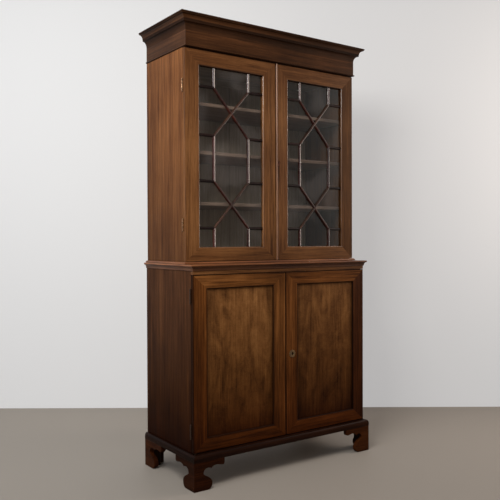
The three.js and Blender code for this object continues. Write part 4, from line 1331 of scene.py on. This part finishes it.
# each cut: how far in from the last one, and how far back (or forward, below zero), in mm
RING_CUTS = ((1.4, -0.6), (1.6, 0), (0.8, 0.4), (3.2, 0.1), (0.6, -0.4), (1, 0), (0.8, 0.7))
low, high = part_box("lower_right_door_escutcheon")
plate = turned(
    "round_escutcheon",
    ((low.x + high.x) / 2, high.y - ESCUTCHEON / 2, (low.z + high.z) / 2),
    "Y", (high.x - low.x) / 2 + ESCUTCHEON_MARGIN, ESCUTCHEON, 64,
)
edit_only(plate, "polygons", lambda face: face.normal.y < -0.9)
for inset, push in RING_CUTS:
    bpy.ops.mesh.inset(thickness=inset * MM, depth=0)
    bpy.ops.transform.translate(value=(0, push * MM, 0))
end_edit()
eased(plate, 0.15 * MM, 2, 60)
chopped(plate, keyhole_shape("keyhole", "lower", low.y - 3 * MM, 9 * MM))
keep(smooth(plate), "lower_right_door", "old_brass", "brass", "lower_right_door_escutcheon")

low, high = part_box("upper_right_door_keyhole_lining")
lining = keyhole_shape("keyhole_lining_brass", "upper", low.y, high.y - low.y, 2 * MM)
eased(lining, 0.2 * MM, 2, 50)
chopped(lining, keyhole_shape("keyhole", "upper", low.y - MM, 12 * MM))
keep(smooth(lining), "upper_right_door", "dark_brass", "brass", "upper_right_door_keyhole_lining")
print("pieces made:", len(made))

# %% [markdown]
# Old mahogany under polish: a red-brown ground, darker streaks along the grain, short dark pores,
# broad patches where light has faded it, painted shade and old polish in the corners, and a gloss
# that varies with years of rubbing. All of it is noise stretched along the grain, so each piece
# only needs to know which way its grain runs.

# %% Figure of the wood
STRETCH = {"X": (0.03, 1, 1), "Y": (1, 0.03, 1), "Z": (1, 1, 0.03), "slant": (1, 1, 0.4)}
PANEL_CENTRE, PANEL_REACH = (0.269, 0.578), (0.19, 0.34)
SCALE_TOP = 2.3


def mottled(wood, place, tone, figure):
    """Mixes the curl, ripple and veins of a veneer into the tone of the grain."""
    curl = wood.noise(wood.stretched(place, (1, 1, 0.45)), 9.0, 5.0, 0.6, 1.6)
    ripple = wood.noise(wood.stretched(place, (0.5, 1, 1)), 60.0, 4.0, 0.65, 2.0)
    rings = wood.noise(wood.stretched(place, (1, 1, 0.3)), 5.0, 3.0, 0.5, 1.2)
    veins = wood.between(abs(rings * 7 % 1 - 0.5), 0.1, 0.5)
    tone = tone * (1 - figure) + curl * figure
    return tone + (ripple - 0.5) * (0.35 * figure) - veins * (0.08 * figure)


def key_wear(wood, place, keyhole):
    """Where a key has marked the wood: round its keyhole, and in a streak below it."""
    x, _, z = wood.parts(place)
    aside, below = abs(x - keyhole[0]), keyhole[1] - z
    close = wood.between((aside**2 + below**2) ** 0.5, 7 * MM, 13 * MM, 0.95, 0.0)
    hung = wood.between(aside, 3 * MM, 9 * MM, 0.75, 0.0) * wood.between(below, 0.0, 4 * MM)
    return close + hung * wood.between(below, 50 * MM, 150 * MM, 1.0, 0.0)


def panel_rim(wood, place, patches):
    """How much a panel is painted darker towards its edges: painted shade, which leaves a pool of
    light in its middle.
    """
    x, _, z = wood.parts(place)
    across = abs(abs(x) - PANEL_CENTRE[0]) / PANEL_REACH[0]
    up = abs(z - PANEL_CENTRE[1]) / PANEL_REACH[1]
    return wood.between(across**4 + up**4 + patches * 0.5, 0.5, 1.9, 0.0, 0.4)


# %% [markdown]
# One function makes every wood. It layers the grain, the dirt, painted shade in the corners and a
# painted fall-off of light with height as colour, and sets the gloss and a slight relief from the
# same noises, so that they agree with each other.

# %% Mahogany
def mahogany(name, grain, tones, gloss, figure, shine, painted_falloff, keyhole=None):
    """Polished wood with its grain along one axis.

    The tones are dark, middle and light, gloss is how rough it is, figure adds the mottling of a
    veneer, shine is the strength of the polish, and the fall-off gives at some heights how much of
    its colour the wood keeps: painted light and shade, full colour high up, darker towards the
    floor, and darker at the tops of the glazed doors under the cornice. A key has marked the wood
    round and below its keyhole, given as (x, z).
    """
    dark, middle, light = (srgb(*tone) for tone in tones)
    wood = Finish(name)
    place = wood.place()
    along = wood.stretched(place, STRETCH[grain])
    patches = wood.noise(place, 2.7, 2.0, 0.5)
    boards = wood.noise(along, 13.0, 2.0, 0.5, 0.3)
    bands = wood.noise(along, 48.0, 4.0, 0.6, 0.5)
    streaks = wood.noise(along, 170.0, 3.0, 0.6)
    fibres = wood.noise(along, 800.0, 2.0, 0.6)
    pore_stretch = tuple(0.5 * s if s < 1 else s for s in STRETCH[grain])
    pores = wood.between(wood.noise(wood.stretched(place, pore_stretch), 1500.0, 1.0), 0.58, 0.68)
    tone = patches * 0.5 + boards * 0.35 + bands * 0.6 + streaks * 0.7 + fibres * 0.2 - 0.675
    if figure:
        tone = mottled(wood, place, tone, figure)
    color = wood.ramp(tone, [(0.27, dark), (0.5, middle), (0.73, light)])

    def darkened(amount, share):
        return wood.mix(amount, color, (*[share * c for c in dark], 1))

    color = darkened(pores * 0.45, 0.4)
    # painted shade: ambient occlusion darkens the colour in corners and creases, and noted faces
    # add old polish, dust and more painted shade
    open_air = wood.node("ShaderNodeAmbientOcclusion", {"samples": 6}, {"Distance": 0.01}, "AO")
    shade_and_dirt = wood.between(open_air, 0.2, 0.85, 0.75, 0.0) + wood.noted("old_polish") * 0.85
    color = darkened(shade_and_dirt, 0.3)
    if keyhole:
        color = darkened(key_wear(wood, place, keyhole), 0.7)
    # painted shade towards the edges of a panel, lighter in its middle
    if figure > 0.3:
        color = darkened(panel_rim(wood, place, patches), 1.0)
    # painted light and shade: the colour is multiplied down with height, as the light falls off
    if painted_falloff:
        stops = [(height / SCALE_TOP, kept) for height, kept in painted_falloff]
        kept_color = wood.ramp(wood.parts(place)[2] / SCALE_TOP, stops)
        color = wood.mix(1.0, color, kept_color, "MULTIPLY")
    uneven, relief_depth = (1.0, 0.15) if shine < 0.5 else (0.3, 0.01)
    rough = wood.noise(place, 9.0, 3.0) * (0.16 * uneven) + streaks * (0.08 * uneven)
    swell = wood.noise(along, 9.0, 1.0) * 0.5
    return wood.surface({
        "Base Color": color,
        "Roughness": rough + (gloss - 0.12 * uneven) + shade_and_dirt * 0.2,
        "Specular IOR Level": shine,
        "Coat Weight": wood.noted("rubbed"),
        "Coat Roughness": 0.22,
        "Normal": wood.bump(fibres * 0.06 + swell - pores * 0.25, relief_depth, 0.0006),
    })


# %% [markdown]
# The woods differ in their three tones, in how rough and how polished they are, and in a painted
# fall-off of light and shade with height. A fall-off gives a height in metres and the share of red,
# green and blue that the wood keeps there.

# %% Woods
# painted light and shade by height: full colour high up, darker towards the floor and at the top of
# the glazed doors
HIGH_PAINTED_FALLOFF = [(1.05, (0.6, 0.58, 0.56)), (1.5, (0.78, 0.76, 0.74)), (1.88, (1, 1, 1))]
LOW_PAINTED_FALLOFF = [(0.15, (0.2, 0.08, 0.01)), (0.45, (0.6, 0.52, 0.4)), (0.9, (1, 1, 1))]
DOOR_PAINTED_FALLOFF = [(1.0, (1, 0.97, 0.9)), (1.8, (1, 1, 1)), (1.96, (0.7, 0.65, 0.6))]
CUPBOARD_PAINTED_FALLOFF = [(0.15, (0.4, 0.26, 0.14)), (0.4, (0.78, 0.68, 0.58)), (0.7, (1, 1, 1))]
PANEL_PAINTED_FALLOFF = [(0.2, (0.22, 0.11, 0.03)), (0.5, (0.6, 0.55, 0.47)), (0.86, (1, 1, 1))]
FAR_PANEL_PAINTED_FALLOFF = [(0.2, (0.16, 0.07, 0.01)), (0.5, (0.58, 0.52, 0.44)), (0.86, (1, 1, 1))]
# name: dark, middle and light tones; roughness, figure, strength of polish, painted fall-off of
# light
WOODS = {
    "side": ((72, 41, 22), (109, 69, 39), (134, 89, 53), 0.45, 0.0, 0.05, HIGH_PAINTED_FALLOFF),
    "low_side": ((44, 24, 14), (74, 46, 28), (96, 62, 38), 0.4, 0.0, 0.02, LOW_PAINTED_FALLOFF),
    "door": ((58, 33, 17), (100, 64, 35), (130, 88, 52), 0.42, 0.1, 0.1, DOOR_PAINTED_FALLOFF),
    "pale_door": ((62, 36, 18), (108, 70, 39), (138, 95, 57), 0.42, 0.1, 0.1, DOOR_PAINTED_FALLOFF),
    "key_door": ((58, 33, 17), (98, 62, 35), (127, 86, 51), 0.42, 0.1, 0.1, DOOR_PAINTED_FALLOFF),
    "brown_door": ((46, 25, 11), (80, 50, 26), (106, 70, 40), 0.42, 0.1, 0.06, DOOR_PAINTED_FALLOFF),
    "low_door": ((54, 28, 11), (98, 57, 25), (136, 84, 42), 0.38, 0.1, 0.05, CUPBOARD_PAINTED_FALLOFF),
    "red_door": ((48, 23, 8), (86, 48, 19), (120, 72, 33), 0.38, 0.1, 0.05, CUPBOARD_PAINTED_FALLOFF),
    "bright_door": ((58, 31, 13), (108, 66, 31), (148, 95, 50), 0.38, 0.1, 0.05, CUPBOARD_PAINTED_FALLOFF),
    "dark_door": ((38, 18, 9), (66, 35, 18), (92, 54, 28), 0.38, 0.1, 0.04, CUPBOARD_PAINTED_FALLOFF),
    "frieze": ((30, 16, 8), (54, 31, 15), (76, 46, 25), 0.48, 0.1, 0.06, None),
    "frieze_end": ((36, 19, 11), (61, 37, 21), (82, 53, 33), 0.48, 0.1, 0.1, None),
    "dark": ((15, 6, 3), (28, 12, 6), (44, 22, 11), 0.4, 0.0, 0.05, None),
    "foot": ((26, 10, 4), (46, 20, 7), (70, 36, 15), 0.42, 0.0, 0.03, None),
    "waist": ((64, 33, 18), (110, 66, 38), (148, 96, 60), 0.34, 0.0, 0.25, None),
    # the bead is lighter than the doors, partly its own colour and partly a painted highlight
    "bead": ((66, 38, 22), (116, 78, 52), (150, 106, 74), 0.3, 0.0, 0.42, None),
    "bar": ((24, 4, 2), (46, 12, 8), (76, 27, 18), 0.18, 0.0, 1.0, None),
    # the dull and level bars are darker as painted shade
    "slant_bar": ((24, 11, 6), (46, 25, 14), (70, 42, 25), 0.42, 0.0, 0.4, None),
    "dull_bar": ((22, 5, 3), (44, 14, 8), (72, 28, 16), 0.45, 0.0, 0.25, None),
    "level_bar": ((9, 2, 2), (20, 6, 4), (38, 15, 10), 0.48, 0.0, 0.2, None),
    "panel": ((64, 37, 17), (124, 82, 45), (160, 112, 66), 0.38, 0.6, 0.05, PANEL_PAINTED_FALLOFF),
    # the right-hand panel is painted darker than the left, as shade farther from the lamps
    "far_panel": ((54, 30, 14), (112, 73, 40), (150, 104, 60), 0.38, 0.6, 0.05, FAR_PANEL_PAINTED_FALLOFF),
    "shelf": ((128, 100, 86), (150, 122, 107), (170, 142, 125), 0.6, 0.0, 0.1, None),
    "inner": ((170, 148, 126), (198, 176, 154), (220, 199, 176), 0.62, 0.0, 0.15, None),
}
finishes = {}


def finish_for(key):
    """The material for a finish such as door_X, made the first time that it is asked for."""
    if key not in finishes:
        wood, grain = key.rsplit("_", 1)
        marked = keyhole_centre("upper") if wood == "key_door" else None
        finishes[key] = mahogany(key, grain, WOODS[wood][:3], *WOODS[wood][3:], marked)
    return finishes[key]


print("woods:", len(WOODS))

# %% [markdown]
# Brass that nobody polishes goes brown, with bright places where fingers and keys touch it. The
# screws and lock cases are dull steel. Round the keyhole of the cupboard the brass is painted near
# black as shade, widening the dark of the hole.

# %% Brass and steel
KEYHOLE_SHADE = (0.006, 0.004, 0.002, 1)
# name: bare and tarnished tones, roughness, how metallic it still looks
METALS = {
    "brass": ((168, 132, 100), (84, 60, 42), 0.32, 1.0),
    "dull_brass": ((62, 42, 28), (30, 18, 12), 0.4, 0.5),
    "old_brass": ((122, 94, 58), (72, 52, 30), 0.36, 0.5),
    "dark_brass": ((132, 74, 54), (80, 38, 26), 0.5, 0.4),
    "steel": ((112, 102, 90), (58, 46, 36), 0.36, 1.0),
}


def metal(name, base, tarnish, roughness, bare, keyhole=None):
    """Dull metal, with tarnish in patches, and painted shade round a keyhole if its place is given.
    """
    dull = Finish(name)
    place = dull.place()
    patches = dull.between(dull.noise(place, 160.0, 4.0, 0.6), 0.42, 0.66)
    specks = dull.noise(place, 900.0, 2.0)
    color = dull.mix(patches, (*srgb(*base), 1), (*srgb(*tarnish), 1))
    if keyhole:
        away = dull.node(
            "ShaderNodeVectorMath", {"operation": "DISTANCE"}, {0: place, 1: keyhole}, "Value"
        # painted shade: near black round the keyhole, standing in for the dark inside the hole
        )
        color = dull.mix(dull.between(away, 5 * MM, 9 * MM, 0.9, 0.0), color, KEYHOLE_SHADE)
    return dull.surface({
        "Base Color": color,
        "Metallic": bare - patches * 0.35,
        "Roughness": patches * 0.25 + specks * 0.1 + roughness,
        "Normal": dull.bump(specks, 0.15, 0.0002),
    })


hole_x, hole_z = keyhole_centre("lower")
hole = (hole_x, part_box("lower_right_door_escutcheon")[0].y, hole_z - 3 * MM)
for name, look in METALS.items():
    finishes[name] = metal(name, *look, hole if name == "old_brass" else None)
print("metals:", len(METALS))

# %% [markdown]
# Glass is a mirror at a slant and clear straight on, so a Fresnel factor mixes a clear shader
# with a glossy one. Old panes hold a thin film of dust in patches.

# %% Glass
MIRROR_SHARE, DUST_SHARE = 0.5, 0.028
pane_glass = Finish("glass")
place = pane_glass.place()
clear = pane_glass.node("ShaderNodeBsdfTransparent", {}, {"Color": (0.93, 0.95, 0.95, 1)})
film = pane_glass.noise(place, 14.0, 3.0) * 0.08
mirror = {"Base Color": (0.98, 0.97, 0.95, 1), "Metallic": 1.0, "Roughness": film}
shine = pane_glass.node("ShaderNodeBsdfPrincipled", {}, mirror)
slant = pane_glass.node("ShaderNodeFresnel", {}, {"IOR": 1.42})
polished = pane_glass.mixed(slant * MIRROR_SHARE, clear, shine)
dust = pane_glass.node("ShaderNodeBsdfDiffuse", {}, {"Color": (0.75, 0.67, 0.65, 1)})
breath = pane_glass.between(pane_glass.noise(place, 4.0, 3.0, 0.5, 0.5), 0.47, 0.68)
finishes["glass"] = pane_glass.finish(pane_glass.mixed(breath * DUST_SHARE, polished, dust))
print("glass nodes:", len(pane_glass.tree.nodes))

# %% [markdown]
# Every piece now gets its finish, and the boards that came ready made get theirs by name. A
# finish is made once and shared, because all of them read the place of a point in the bookcase,
# so that no two boards show the same grain.

# %% Put the finishes on
BOARD_FINISHES = {
    "low_side_Z": ("lower_side_left", "lower_side_right"),
    "side_Z": ("upper_side_left", "upper_side_right"),
    "inner_X": ("lower_bottom", "upper_bottom", "upper_top"),
    "shelf_X": ("lower_shelf", "shelf_low", "shelf_middle", "shelf_high"),
    "panel_Z": ("lower_left_door_panel",),
    "far_panel_Z": ("lower_right_door_panel",),
}
boards = [(frame["nodes"][node], key) for key, nodes in BOARD_FINISHES.items() for node in nodes]
for piece, finish in [*made.values(), *boards]:
    piece.data.materials.clear()
    piece.data.materials.append(finish_for(finish))
print("finishes:", len(finishes))
